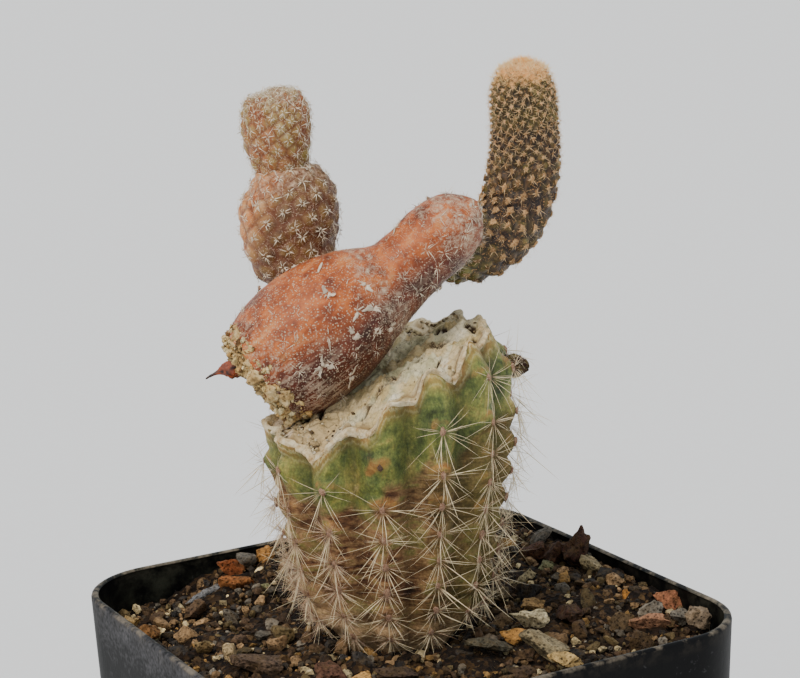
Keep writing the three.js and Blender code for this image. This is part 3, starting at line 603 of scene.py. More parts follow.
def dry_spine(name, root, shaft, tip, translucence):
    """Dead spine or hair: fibrous, satin, a little see-through, its colour changing from root to tip."""
    material, tree, shader, place = new_material(name)
    reach, tint = (
        add(tree, "Attribute", {"attribute_name": key}, {}).outputs["Fac"]
        for key in ("reach", "tint"))
    run = add(tree, "ValToRGB", {"stops": [(0.0, root), (0.16, shaft), (0.8, shaft), (1.0, tip)]}, {
        "Fac": reach})
    specks = add(tree, "TexNoise", {}, {"Vector": place, "Scale": per_mm(0.6), "Detail": 3})
    shade = add(tree, "Math", {"operation": "MULTIPLY_ADD"}, {0: specks, 1: 0.3, 2: tint})
    toned = add(tree, "VectorMath", {"operation": "SCALE"}, {0: run, "Scale": shade})
    bump = add(tree, "Bump", {}, {"Height": specks, "Distance": 0.00005, "Strength": 0.5})
    connect(tree, shader, {
        "Base Color": toned, "Normal": bump, "Roughness": 0.5, "Subsurface Weight": translucence,
        "Subsurface Radius": (0.0004, 0.0003, 0.0002), "IOR": 1.5})
    return material


def woolly_felt(name, dark, light):
    """Areole wool: short matted fibres, soft and matt, darker in between."""
    material, tree, shader, place = new_material(name)
    fibres = add(tree, "TexNoise", {}, {
        "Vector": place, "Scale": per_mm(0.25), "Detail": 5, "Roughness": 0.75, "Distortion": 1.2})
    tint = add(tree, "Attribute", {"attribute_name": "tint"}, {}).outputs["Fac"]
    matted = add(tree, "ValToRGB", {"stops": [(0.36, dark), (0.62, light)]}, {"Fac": fibres})
    tone = add(tree, "VectorMath", {"operation": "SCALE"}, {0: matted, "Scale": tint})
    bump = add(tree, "Bump", {}, {"Height": fibres, "Distance": 0.0003, "Strength": 0.9})
    connect(tree, shader, {
        "Base Color": tone, "Normal": bump, "Roughness": 0.95, "Sheen Weight": 0.08, "Sheen Roughness": 0.5,
        "Specular IOR Level": 0.1})
    return material


def crumbling_cork(name, dark, middle, light):
    """Dead cork or dried tissue, torn and crumbling: matt, uneven in colour, dark in its pits."""
    material, tree, shader, place = new_material(name)
    hollow = add(tree, "Attribute", {"attribute_name": "hollow"}, {}).outputs["Fac"]
    clouds = add(tree, "TexNoise", {}, {"Vector": place, "Scale": per_mm(1.6), "Detail": 6, "Roughness": 0.7})
    pores = add(tree, "TexVoronoi", {}, {"Vector": place, "Scale": per_mm(0.5)})
    tone = add(tree, "ValToRGB", {"stops": [(0.36, dark), (0.48, middle), (0.64, light)]}, {"Fac": clouds})
    pits = add(tree, "ValToRGB", {"stops": [(0.05, 0.3), (0.42, 1.0)]}, {"Fac": pores})
    pitted = add(tree, "Mix", {"data_type": "RGBA", "blend_type": "MULTIPLY"}, {0: 0.8, 6: tone, 7: pits})
    shadowed = add(tree, "Mix", {"data_type": "RGBA"}, {0: hollow, 6: pitted, 7: colour("#2a1a10")})
    bump = add(tree, "Bump", {}, {"Height": clouds, "Distance": 0.0006, "Strength": 0.9})
    pitting = add(tree, "Bump", {}, {"Height": pits, "Distance": 0.0002, "Strength": 0.8, "Normal": bump})
    connect(tree, shader, {
        "Base Color": shadowed, "Normal": pitting, "Roughness": 0.93, "Specular IOR Level": 0.2})
    return material


def pale_paper_floor():
    """Seamless studio paper: even pale grey, matt, with barely visible fibre."""
    material, tree, shader, place = new_material("studio_paper_matt")
    fibre = add(tree, "TexNoise", {}, {"Vector": place, "Scale": per_mm(3), "Detail": 3})
    tone = add(tree, "Mix", {"data_type": "RGBA"}, {0: fibre, 6: colour("#e4e5e6"), 7: colour("#e7e8e9")})
    connect(tree, shader, {"Base Color": tone, "Roughness": 0.95, "Specular IOR Level": 0.1})
    return material


# Pot

def rounded_square(angle, half, corner):
    """Distance from the middle of a square with round corners to its edge, at an angle."""
    along, aside = np.abs(np.cos(angle)), np.abs(np.sin(angle))
    long, short = np.maximum(along, aside), np.minimum(along, aside)
    on_side = half / long
    inner = half - corner
    dot = inner * (long + short)
    on_corner = dot + np.sqrt(np.maximum(dot * dot - 2 * inner * inner + corner * corner, 0))
    return np.where(on_side * short <= inner, on_side, on_corner)


def pot_half(height):
    return POT_BASE_HALF + (POT_RIM_HALF - POT_BASE_HALF) * height / POT_HEIGHT


def pot_loop(height, inset):
    """Closed loop of points round the pot, at a height above its underside and set in from its outside."""
    angle = np.arange(POT_AROUND) * TURN / POT_AROUND
    wave = RIM_WAVE * np.sin(2 * angle + 0.6) * (height / POT_HEIGHT) ** 3
    radius = rounded_square(angle, pot_half(height) - inset, POT_CORNER - inset) + wave
    heights = np.full(POT_AROUND, float(height))
    return np.stack([radius * np.cos(angle), radius * np.sin(angle), heights], axis=1)


def build_pot():
    """One wall drawn up outside, over the rim and down inside, with a holed floor at either end."""
    rim = POT_HEIGHT
    outside = [(0, 0.9), (0.12, 0.45), (0.45, 0.12), (0.9, 0)] + [(h, 0) for h in range(5, 54, 4)]
    over_rim = [
        (rim - 0.4, 0), (rim - 0.16, 0.08), (rim, 0.3),
        (rim, 0.65), (rim - 0.16, 0.87), (rim - 0.4, POT_WALL)]
    inside = [(h, POT_WALL) for h in range(53, 4, -4)]
    to_floor = [(POT_FLOOR + 0.9, POT_WALL), (POT_FLOOR + 0.25, POT_WALL + 0.25), (POT_FLOOR, POT_WALL + 0.9)]
    bm = bmesh.new()
    loop = bmesh.ops.create_circle(bm, segments=POT_AROUND, radius=1)["verts"]
    order = {vert: i for i, vert in enumerate(loop)}
    edges = bottom = list(bm.edges)
    for number, (height, inset) in enumerate(outside + over_rim + inside + to_floor):
        if number > 0:
            grown = bmesh.ops.extrude_edge_only(bm, edges=edges)["geom"]
            loop = [item for item in grown if isinstance(item, bmesh.types.BMVert)]
            new = set(loop)
            edges = [
                item for item in grown
                if isinstance(item, bmesh.types.BMEdge) and new.issuperset(item.verts)]
            around = order
            order = {}
            for vert in loop:
                below = next(e.other_vert(vert) for e in vert.link_edges if e.other_vert(vert) not in new)
                order[vert] = around[below]
        places = pot_loop(height, inset)
        for vert in loop:
            vert.co = places[order[vert]]
    for level, border in ((0, bottom), (POT_FLOOR, edges)):
        for x in (-DRAIN_INSET, DRAIN_INSET):
            for y in (-DRAIN_INSET, DRAIN_INSET):
                at = Matrix.Translation((x, y, level))
                ring = bmesh.ops.create_circle(bm, segments=DRAIN_AROUND, radius=DRAIN_RADIUS, matrix=at)
                new = set(ring["verts"])
                border = border + [edge for edge in bm.edges if new.issuperset(edge.verts)]
        bmesh.ops.triangle_fill(bm, edges=border, use_beauty=True)
    holes = [edge for edge in bm.edges if edge.is_boundary]
    bmesh.ops.bridge_loops(bm, edges=holes)
    bmesh.ops.recalc_face_normals(bm, faces=bm.faces)
    mesh = mesh_of("pot_shell", bm)
    points = points_of(mesh)
    reach = np.hypot(points[:, 0], points[:, 1])
    angle = np.arctan2(points[:, 1], points[:, 0])
    wall = rounded_square(angle, pot_half(points[:, 2]), POT_CORNER) - reach
    # The left face, which takes the light, gets grey that is partly dust and partly painted sheen.
    faces_left = smoothstep(-points[:, 0], 20, 28)
    outer = 1 - smoothstep(wall, 0.3, 0.7)
    note(mesh, "dusty_side", faces_left * (0.2 + 0.95 * smoothstep(points[:, 2], 46, 54)) * outer)
    note(mesh, "edge", smoothstep(points[:, 2], rim - 0.5, rim - 0.05))
    note(mesh, "inside", smoothstep(wall, 0.5, 0.9))
    move_points(mesh, points * MM)
    mesh.shade_smooth()
    mesh.set_sharp_from_angle(angle=math.radians(50))
    piece(mesh, black_polypropylene_moulded(), "pot_plastic", "pot")


# Soil

def stock_radius(height):
    levels, radii = zip(*STOCK_PROFILE)
    return np.interp(height, levels, radii)


def soil_height(x, y):
    """Height of the bed: banked up at the stock and the far and right sides, sunk at the far left corner."""
    mound = SOIL_MOUND * np.exp(-(x * x + y * y) / SOIL_MOUND_RADIUS**2)
    right_bank = 3.0 * smoothstep(x, 9, 26) * (0.3 + 0.7 * smoothstep(y, -24, -4))
    far_bank = 2.9 * smoothstep(y, 11, 25) * smoothstep(x, -18, -7) * (1 - smoothstep(x, 8, 24))
    hollow = -0.5 * smoothstep(-x, 12, 24) * smoothstep(y, 4, 22)
    return SOIL_LEVEL + mound + right_bank + far_bank + hollow


def build_bed():
    """Bed of crumbs that fills the pot, open under the stock."""
    bm = bmesh.new()
    bmesh.ops.create_grid(bm, x_segments=BED_CELLS, y_segments=BED_CELLS, size=1)
    rim = [edge for edge in bm.edges if edge.is_boundary]
    grown = bmesh.ops.extrude_edge_only(bm, edges=rim)["geom"]
    low = [item for item in grown if isinstance(item, bmesh.types.BMVert)]
    for vert in low:
        vert.co.z = -1
    bmesh.ops.contextual_create(bm, geom=[e for e in bm.edges if e.is_boundary])
    bmesh.ops.recalc_face_normals(bm, faces=bm.faces)
    mesh = mesh_of("soil_bed", bm)
    flat = points_of(mesh)
    angle = np.arctan2(flat[:, 1], flat[:, 0])
    side = rounded_square(angle, 1, 0)
    top = flat[:, 2] > -0.5
    half = np.where(top, pot_half(POT_HEIGHT + SOIL_LEVEL), pot_half(POT_FLOOR)) - POT_WALL - 0.15
    reach = rounded_square(angle, half, POT_CORNER - POT_WALL) / side
    x, y = flat[:, 0] * reach, flat[:, 1] * reach
    floor = np.full(len(flat), POT_FLOOR + 0.2 - POT_HEIGHT)
    grain = rough_noise(np.stack([x, y, np.zeros(len(flat))], axis=1), 2.6, 61) * 0.75
    hole = np.interp(np.hypot(x - STOCK_AXIS_X, y), [0, 2.6, 4.6, 7.2, 9.3], [-11, -9, -6.5, -3.8, -2])
    height = np.minimum(soil_height(x, y) + grain, np.where(np.hypot(x, y) < 9, hole, 99))
    move_points(mesh, pot_to_part(np.stack([x, y, np.where(top, height, floor)], axis=1)))
    mesh.shade_smooth()
    piece(mesh, loose_potting_soil(), "grit_soil", "soil")


# Tones of the stones and the share of each
STONE_TONES = [
    ("#453527", 0.25), ("#2a2725", 0.18), ("#5a4630", 0.13), ("#7c6346", 0.13), ("#8f6d3e", 0.05),
    ("#b6a47c", 0.06), ("#605a50", 0.1), ("#55482f", 0.1),
]

# Stones that stand out: [x, y, height of the middle, half sizes, turn, tilt, tone]
NAMED_STONES = [
    (26.5, 2.6, 0.1, (1.9, 2.6, 2.5), -25, 6, "#3a2218"),
    (25.3, 5.4, -0.7, (1.9, 2.7, 1.8), -25, -8, "#42291c"),
    (24.4, 8.4, -1.0, (2.4, 1.8, 1.7), 80, -10, "#4a2e1f"),
    (12.3, -9.0, -2.2, (2.5, 1.5, 1.2), -20, 14, "#cfc09a"),
    (8.4, -11.6, -2.7, (2.1, 1.1, 0.9), -28, 8, "#b58345"),
    (28.0, -13.6, -1.7, (2.0, 1.3, 1.1), -45, 10, "#a1684a"),
    (22.6, -17.4, -2.3, (2.5, 1.2, 1.1), -25, 4, "#a07458"),
    (27.2, -21.4, -1.6, (1.9, 1.1, 2.0), 20, 34, "#86745f"),
    (4.4, -13.4, -2.6, (3.3, 1.3, 0.7), -20, 12, "#4f4a3c"),
    (9.0, -17.4, -2.6, (2.9, 1.6, 1.4), -62, 20, "#8c7f62"),
    (8.6, -21.4, -2.8, (2.0, 0.9, 0.9), -50, 16, "#b79a66"),
    (-21.0, 2.6, -3.0, (2.6, 1.0, 1.1), 52, 10, "#bfa67c"),
    (-22.0, 7.4, -3.4, (1.9, 0.9, 0.9), 30, 20, "#9a8159"),
    (-26.0, 20.2, -3.3, (1.9, 1.3, 1.2), 20, 0, "#a98c5c"),
    (-25.6, 15.6, -3.1, (2.3, 1.2, 1.2), 66, 22, "#8f653c"),
    (-9.6, 26.0, -1.1, (2.0, 1.4, 1.3), 10, 14, "#8d4f2c"),
    (-10.6, 23.0, -2.2, (2.2, 1.4, 1.2), -10, 8, "#925a30"),
    (-4.6, 26.4, -0.6, (1.5, 1.1, 1.2), 40, 0, "#a8763c"),
    (-7.4, 20.6, -2.9, (1.3, 1.0, 0.8), 30, 0, "#8a8760"),
    (-13.7, 24.4, -3.0, (3.0, 0.6, 0.5), 5, -16, "#77787a"),
    (-19.0, -2.2, -3.0, (3.1, 1.9, 1.5), -18, 6, "#5e4c3e"),
    (-14.0, -8.8, -3.0, (2.2, 1.5, 1.2), 12, -8, "#634536"),
    (23.6, 4.6, -2.0, (1.8, 1.2, 1.1), 12, 0, "#7c7a58"),
    (25.2, -9.4, -2.1, (1.2, 0.8, 0.8), 22, 0, "#a9702f"),
    (15.8, -4.4, -2.6, (2.3, 1.0, 0.9), -6, 6, "#8f7148"),
    (17.0, -9.4, -2.2, (2.4, 1.6, 1.5), 40, 22, "#3c271d"),
    (20.4, -15.2, -2.4, (1.5, 1.1, 1.5), 10, 30, "#5b4a35"),
    (-9.0, -13.2, -2.8, (2.8, 1.3, 0.9), -12, 10, "#4a3b31"),
]


def soil_room(places):
    """How far the soil reaches from the middle, in the direction of each place."""
    angle = np.arctan2(places[:, 1], places[:, 0])
    return rounded_square(angle, pot_half(POT_HEIGHT - 5) - POT_WALL, POT_CORNER - POT_WALL)


def clear_spots(rng, sizes, taken):
    """Random places on the bed that keep clear of the stock, the wall and each other, largest first."""
    found = []
    for size in sorted(sizes, reverse=True):
        tries = rng.uniform(-29, 29, (40, 2))
        far = np.hypot(tries[:, 0], tries[:, 1])
        off_stock = np.hypot(tries[:, 0] - STOCK_AXIS_X, tries[:, 1]) > 8.2 + 0.4 * size
        others = np.array(taken)
        apart = np.hypot(tries[:, :1] - others[:, 0], tries[:, 1:] - others[:, 1])
        clear = np.all(apart > 0.68 * (size + others[:, 2]), axis=1)
        free = tries[(far + 0.8 * size < soil_room(tries)) & off_stock & clear]
        if len(free):
            taken.append((*free[0], size))
            found.append((*free[0], size))
    return found


def turned(points, turn, tilt, roll):
    """Points turned about the upright, then tipped."""
    matrix = Matrix.Rotation(turn, 3, "Z") @ Matrix.Rotation(tilt, 3, "Y") @ Matrix.Rotation(roll, 3, "X")
    return points @ np.array(matrix).T


def broken_stone(ball, rng, cuts):
    """A ball of points broken down by random planes to an angular grain."""
    points = ball.copy()
    for normal in unit(rng.normal(size=(cuts, 3))):
        over = np.maximum(points @ normal - rng.uniform(0.38, 0.82), 0)
        points -= 0.97 * over[:, None] * normal
    return points


def build_stones(name, shape, spots, seed, cuts, named):
    """Grains half sunk in the bed: the named ones, then one at each spot, broken by so many cuts."""
    rng = np.random.default_rng(seed)
    ball, faces = shape
    tones, shares = zip(*STONE_TONES)
    grains, tints = [], []
    for x, y, size in spots:
        half = np.array([1.1, rng.uniform(0.6, 1), rng.uniform(0.5, 0.9)]) * size
        grain = turned(broken_stone(ball, rng, cuts) * half, rng.uniform(0, TURN), *rng.normal(0, 0.4, 2))
        sunk = rng.uniform(0.0, 0.75) * half[2]
        grains.append(grain + [x, y, float(soil_height(x, y)) + sunk])
        tone = np.array(colour(rng.choice(tones, p=np.array(shares) / sum(shares)))[:3])
        # Painted light: stones on the left are lightened by up to a third, for the brighter light on that
        # side.
        left_painted_light = 1 + 0.35 * float(smoothstep(np.array([-x]), 2, 14)[0])
        tints.append(tone * rng.uniform(0.5, 1.75) * left_painted_light)
    for x, y, z, half, turn, tilt, tone in named:
        grain = broken_stone(ball, rng, cuts) * np.array(half) * 1.2
        grains.append(turned(grain, math.radians(turn), math.radians(tilt), 0) + [x, y, z])
        tints.append(np.array(colour(tone)[:3]))
    grains = np.array(grains)
    middle = grains.mean(axis=1, keepdims=True)
    flat = grains.reshape(-1, 3)
    chipped = 1 + 0.15 * rough_noise(flat, 1.1, seed) + 0.12 * np.abs(rough_noise(flat, 0.5, seed + 9, 3))
    chipped -= 0.16 * smoothstep(rough_noise(flat, 0.9, seed + 20, 2), 0.2, 0.6)
    grains = middle + (grains - middle) * chipped.reshape(len(grains), -1, 1)
    mesh = copies_of(name, faces, grains, {"tint": np.array(tints)}, pot_to_part)
    mesh.set_sharp_from_angle(angle=math.radians(32))
    return mesh


def build_grit():
    """Stones from 5 mm down to crumbs, which hide most of the bed."""
    rng = np.random.default_rng(41)
    material = broken_grains("mineral_grit_crushed", "#65502f", 0.55, 0.65, 0.9)
    taken = [(x, y, max(half[:2]) * 0.85) for x, y, _, half, _, _, _ in NAMED_STONES]
    large = clear_spots(rng, rng.uniform(1.2, 2.0, 110), taken)
    middle = clear_spots(rng, rng.uniform(0.8, 1.2, 160), taken)
    small = clear_spots(rng, rng.uniform(0.32, 0.8, 1500), taken)
    tries = rng.uniform(-28, 28, (3300, 2))
    far = np.hypot(tries[:, 0], tries[:, 1])
    crumbs = [(x, y, rng.uniform(0.15, 0.42)) for x, y in tries[(far > 8.6) & (far < soil_room(tries) - 0.4)]]
    for name, shape, spots, seed, cuts, named in (
            ("grit_stones_chosen", ball_shape(4), (), 42, 14, NAMED_STONES),
            ("grit_stones_large", ball_shape(3), large, 46, 14, ()),
            ("grit_stones_middle", ball_shape(2), middle, 43, 12, ()),
            ("grit_stones_small", bead_shape(), small, 44, 9, ()),
            ("grit_crumbs", ball_shape(1), crumbs, 45, 5, ())):
        piece(build_stones(name, shape, spots, seed, cuts, named), material, "grit_soil")


# Rootstock

def ring_places(angle, height):
    """Places on a ring about as wide as the stock, at which its roughness is read."""
    return np.stack([NOISE_RING * np.cos(angle), NOISE_RING * np.sin(angle), height], axis=1)


def furrow(angle):
    """How deep the furrow is, from 0 on a rib to 1 between ribs, where it is sharp."""
    turned_by = RIBS * (angle - FIRST_RIB)
    soft = (1 - np.cos(turned_by)) / 2
    sharp = 1 - np.abs(np.cos(turned_by / 2))
    return 0.5 * soft + 0.5 * sharp


def cut_plane(x, y):
    return CUT_HEIGHT + CUT_SLOPE_X * (x - STOCK_AXIS_X) + CUT_SLOPE_Y * y


def edge_table():
    """Height of the cut's edge for each degree round the stock, from the camera's side round to the right."""
    degrees = np.arange(-180, 181)
    angle = np.radians(degrees - 90)
    radius = np.full(len(angle), 14.0)
    height = np.zeros(len(angle))
    for _ in range(6):
        x, y = STOCK_AXIS_X + radius * np.cos(angle), radius * np.sin(angle)
        wave = (1 - np.cos(RIBS * (angle - FIRST_RIB))) / 2
        height = cut_plane(x, y) + CROWN_RISE * (0.62 - 0.35 * wave)
        radius = stock_radius(height) - RIB_DEPTH * wave
    places, heights = zip(*SEEN_EDGE)
    seen = np.interp(degrees, places, heights)
    known = smoothstep(degrees, places[0] - SEEN_EDGE_BLEND, places[0]) * (
        1 - smoothstep(degrees, places[-1], places[-1] + SEEN_EDGE_BLEND))
    height = height + known * (seen - height)
    ring = ring_places(angle, np.zeros(len(angle)))
    height += (0.2 + 0.12 * (1 - known)) * rough_noise(ring, 2.4, 75)
    kernel = np.array([1, 3, 5, 3, 1]) / 13
    return degrees, np.convolve(np.concatenate([height[-3:-1], height, height[1:3]]), kernel, "valid")


EDGE_DEGREES, EDGE_HEIGHTS = edge_table()


def edge_height(angle):
    degrees = (np.degrees(angle) + 90 + 180) % 360 - 180
    return np.interp(degrees, EDGE_DEGREES, EDGE_HEIGHTS)


def edge_radius(angle):
    return stock_radius(edge_height(angle)) - RIB_DEPTH * furrow(angle)


def areole_places():
    """Rib number and height of each areole of the rootstock."""
    places = []
    for rib in range(RIBS):
        angle = FIRST_RIB + rib * TURN / RIBS
        height = TOP_AREOLES.get(rib, float(edge_height(np.array([angle]))[0]) - TOP_AREOLE_BELOW_EDGE)
        for step in AREOLE_STEPS:
            if height < LOWEST_AREOLE:
                break
            places.append((rib, height))
            height -= step
    return places


STOCK_AREOLES = areole_places()


def is_scar(rib, height):
    """The top areole of the rib towards the camera is a scar without spines."""
    return (rib == 0) & (height > 19)


def stock_skin(angle, height):
    """Points of the ribbed skin, swollen under each areole, and how far each lies in the arch above one."""
    depth = (RIB_DEPTH * furrow(angle) + 0.4 * furrow(angle) ** 3) * (0.65 + 0.35 * smoothstep(height, 9, 20))
    radius = stock_radius(height) - depth * smoothstep(height, -8, 4)
    ragged = 1 + 0.28 * rough_noise(ring_places(angle, height), 1.2, 76)
    arch = np.zeros(len(angle))
    swell = np.zeros(len(angle))
    for rib, level in STOCK_AREOLES:
        aside = (angle - FIRST_RIB - rib * TURN / RIBS + math.pi) % TURN - math.pi
        aside = aside * stock_radius(level)
        swell += 0.55 * np.exp(-((aside / 1.5) ** 2 + ((height - level) / 1.2) ** 2))
        swell -= 0.3 * np.exp(-((aside / 2.2) ** 2 + ((height - level - 1.5) / 0.5) ** 2))
        ring = np.hypot(aside / 1.25, height - level - 0.1) * ragged
        if is_scar(rib, level):
            near = 1.1 * np.exp(-(ring * ragged / 1.2) ** 4)
        else:
            bow = np.exp(-((ring - 0.95) / 0.3) ** 2) * smoothstep(height - level, -0.4, 0.6)
            strength = 0.45 + 0.5 * math.sin(5 * rib + 3 * level) ** 2
            near = (bow + 0.45 * np.exp(-(ring / 0.9) ** 2)) * strength
        arch = np.maximum(arch, near)
    radius = radius + np.clip(swell, -0.35, 0.6) - 0.25 * smoothstep(height, 18, 6)
    x, y = STOCK_AXIS_X + radius * np.cos(angle), radius * np.sin(angle)
    return np.stack([x, y, height], axis=1), arch


def build_stock():
    """Ribbed side of the stock with its neck in the soil, closed by a top that the callus hides."""
    def place(share, angle):
        edge = edge_height(angle)
        up = np.clip(share / STOCK_TOP_SHARE, 0, 1)
        height = STOCK_LOWEST + (edge - STOCK_LOWEST) * up
        points, above = stock_skin(angle, height)
        top = smoothstep(share, STOCK_TOP_SHARE, 1)
        low = 1 - smoothstep(share, 0, 0.04)
        lumps = 0.16 * rough_noise(points, 2.4, 71) * (1 - top)
        out = unit(points - [STOCK_AXIS_X, 0, 0] - points * [0, 0, 1])
        points += lumps[:, None] * out
        inward = np.clip((share - STOCK_TOP_SHARE) / (1 - STOCK_TOP_SHARE), 0, 1)
        under_callus = callus_surface(15 * inward + 0.3, -1.6, angle)
        points = np.where((share > STOCK_TOP_SHARE + 0.005)[:, None], under_callus, points)
        foot = np.array([STOCK_AXIS_X, 0, STOCK_LOWEST - 1.5])
        points = points + (foot - points) * low[:, None]
        below = edge - height
        barked = below + 1.2 * rough_noise(points, 3, 72) + 3.5 * smoothstep(-points[:, 0], 3, 11)
        foot_height = height + 1.6 * rough_noise(points, 2, 73) + 0.3 * (points[:, 0] + 2)
        return points, {
            "bark": smoothstep(barked, 6.5, 12.5),
            "olive": 1.3 * smoothstep(points[:, 0] + 2 * rough_noise(points, 2.5, 74), -1, 9),
            "halo": above * smoothstep(height, 9, 15) * (0.75 + 0.6 * rough_noise(points, 1.4, 77)),
            # The furrow note sets the painted shade between the ribs.
            "furrow": furrow(angle) * (0.6 + 0.4 * smoothstep(height, 8, 20)) * smoothstep(share, 0, 0.1),
            "below": below,
            "corky": 0.85 * (1 - smoothstep(foot_height, -3, 4)),
        }
    mesh = wrapped_body("rootstock_skin", STOCK_CELLS_ROUND, STOCK_CELLS_UP, place)
    piece(mesh, ribbed_stock_epidermis(), "stock_skin", "rootstock")


# Callus rows from the hidden underside over the lip to the middle: [share of the grid, inset from edge, lift]
CALLUS_ROWS = [
    (0.00, 99, -1.3), (0.08, 1.4, -1.2), (0.12, 0.45, -0.9), (0.15, 0.12, -0.6), (0.18, -0.08, -0.3),
    (0.21, -0.14, -0.06), (0.24, -0.06, 0.16), (0.27, 0.12, 0.27), (0.30, 0.34, 0.26), (0.33, 0.56, 0.08),
    (0.37, 0.95, -0.4), (0.44, 1.9, -0.15), (0.5, 3.0, -0.1), (0.72, 7.5, 0.3), (1.00, 99, 0.4),
]

# Cracks and pits in the callus: [x, y, length, width, turn, depth], in millimetres and degrees
CALLUS_CRACKS = [
    (5.2, 4.9, 1.8, 0.7, -10, 1.3), (8.8, -3.3, 1.4, 0.45, 60, 1.0), (-7.4, -13.2, 2.2, 0.41, 86, 1.2),
    (-6.5, -10.8, 1.8, 0.46, 61, 1.3), (-4.2, -8.7, 2.3, 0.3, 20, 1.1), (-10.4, -3.1, 3.0, 0.32, -67, 1.1),
    (3.4, -1.0, 2.1, 0.35, 60, 0.9), (-8.2, -4.1, 2.1, 0.3, 53, 1.1), (9.2, 2.0, 1.8, 0.47, 110, 0.8),
    (0.3, 1.5, 1.0, 0.27, 110, 1.0), (6.6, -8.6, 2.1, 0.24, -14, 1.0), (2.4, -2.9, 1.8, 0.24, 28, 1.0),
    (-10.4, -8.0, 2.3, 0.41, 10, 0.9), (5.4, -5.4, 2.8, 0.3, 20, 0.8), (11.0, 5.6, 1.8, 0.41, 100, 0.9),
    (2.0, 10.2, 2.8, 0.41, -20, 0.9), (-6.0, 11.5, 3.0, 0.41, 20, 0.9), (7.0, 9.6, 1.4, 0.6, 40, 1.0),
]

# Scabby places on the callus: [x, y, radius]
CALLUS_SCABS = [
    (0.3, -5.4, 1.2), (-1.4, -7.0, 0.8), (-2.4, -7.9, 0.6), (5.2, 0.8, 1.5), (-9.2, -11.6, 1.1),
    (7.6, -4.6, 0.7),
]

# Where torn flakes gather on the callus: [x, y]
FLAKE_HEAPS = [
    (0.6, -7.5), (0.0, -5.6), (5.1, -2.6), (-9.0, -9.5), (-11.2, -6.0), (6.1, 12.0), (9.3, 7.8), (4.0, -7.0),
]
FLAKES = 470
HEAPED_FLAKES = 350
FLAKE_TONES = ["#d6c7a2", "#b9a47c", "#8e7a5c", "#51402f", "#c9bda6"]


def callus_surface(inset, lift, angle):
    """Point over the cut, a distance in from its edge. The edge's own height fades out towards the middle."""
    radius = edge_radius(angle)
    share = np.clip(1 - inset / radius, 0, 1.1)
    x, y = STOCK_AXIS_X + share * radius * np.cos(angle), share * radius * np.sin(angle)
    crown = edge_height(angle) - cut_plane(STOCK_AXIS_X + radius * np.cos(angle), radius * np.sin(angle))
    return np.stack([x, y, cut_plane(x, y) + crown * share**3 + 0.5 * (1 - share) + lift], axis=1)


def build_callus():
    """Corky wound tissue over the cut: a rolled lip, then crusts, ledges, cracks and scabs."""
    shares, insets, lifts = (np.array(column, float) for column in zip(*CALLUS_ROWS))

    def place(share, angle):
        ring = ring_places(angle, 6 * share)
        lip = smoothstep(share, 0.13, 0.19) * (1 - smoothstep(share, 0.29, 0.36))
        fat = 0.9 + 0.6 * rough_noise(ring, 2.0, 87)
        inset = np.interp(share, shares, np.minimum(insets, 16))
        inset = inset + lip * (0.3 * rough_noise(ring, 1.6, 88) + 0.12 * rough_noise(ring, 0.6, 94))
        lift = np.interp(share, shares, lifts) * (1 + lip * (fat - 1))
        points = callus_surface(inset, lift, angle)
        on_top = smoothstep(share, 0.31, 0.4)
        ground = points * [1, 1, 0]
        lumps = 0.6 * rough_noise(ground, 4.2, 81) + 0.5 * np.abs(rough_noise(ground, 1.5, 82)) - 0.2
        kind = rough_noise(ground, 4.6, 83, 3)
        crust = smoothstep(kind, -0.05, 0.08) * on_top
        plates = np.floor(3.5 * (rough_noise(ground, 1.5, 84, 4) + 1)) / 3.5 - 0.6
        ledge = (inset + 1.3 * rough_noise(ground, 2.4, 89, 3)) % 1.9
        terraces = 0.3 * (ledge / 1.9) * (1 - smoothstep(ledge, 1.6, 1.9))
        crack = np.zeros(len(share))
        wobble = 0.5 * rough_noise(ground, 1.1, 85, 3)
        for x, y, length, width, turn, depth in CALLUS_CRACKS:
            cosine, sine = math.cos(math.radians(turn)), math.sin(math.radians(turn))
            along = (points[:, 0] - x) * cosine + (points[:, 1] - y) * sine
            aside = (points[:, 1] - y) * cosine - (points[:, 0] - x) * sine + wobble
            crack = np.maximum(crack, np.exp(-(along / length) ** 4 - (aside / width) ** 2) * depth)
        scab = np.zeros(len(share))
        frayed = 1 + 0.4 * rough_noise(ground, 1.0, 97)
        for x, y, size in CALLUS_SCABS:
            away = np.hypot(points[:, 0] - x, points[:, 1] - y) * frayed
            scab = np.maximum(scab, np.exp(-(away / size) ** 4))
        lumps += 0.55 * scab * np.abs(rough_noise(ground, 0.6, 98))
        points[:, 2] += on_top * (lumps + crust * 0.55 * plates + terraces - 0.9 * crack)
        fine_lumps = (lip * 0.17 + 0.02)[:, None] * unit(ring * [1, 1, 0] + [0, 0, 8])
        points += fine_lumps * rough_noise(points, 0.8, 86)[:, None]
        left = 1 - smoothstep(points[:, 0], -9, -3)
        inner = smoothstep(inset, 2.2, 4.5) * (1 - crust)
        far = smoothstep(points[:, 1], -1, 6)
        return points, {
            "lip": lip * (1 - 0.8 * far),
            "crack": smoothstep(crack * on_top, 0.24, 0.55),
            "crust": crust,
            "left": left * on_top,
            "inner": inner * on_top,
            # The groove note marks the painted shadow line just inside the lip.
            "groove": np.exp(-((share - 0.365) / 0.022) ** 2) * smoothstep(kind, -0.3, 0.2),
            "scab": scab * on_top,
        }
    mesh = wrapped_body("callus_body", 340, 110, place)
    piece(mesh, dried_callus(), "callus_cork", "rootstock_callus")


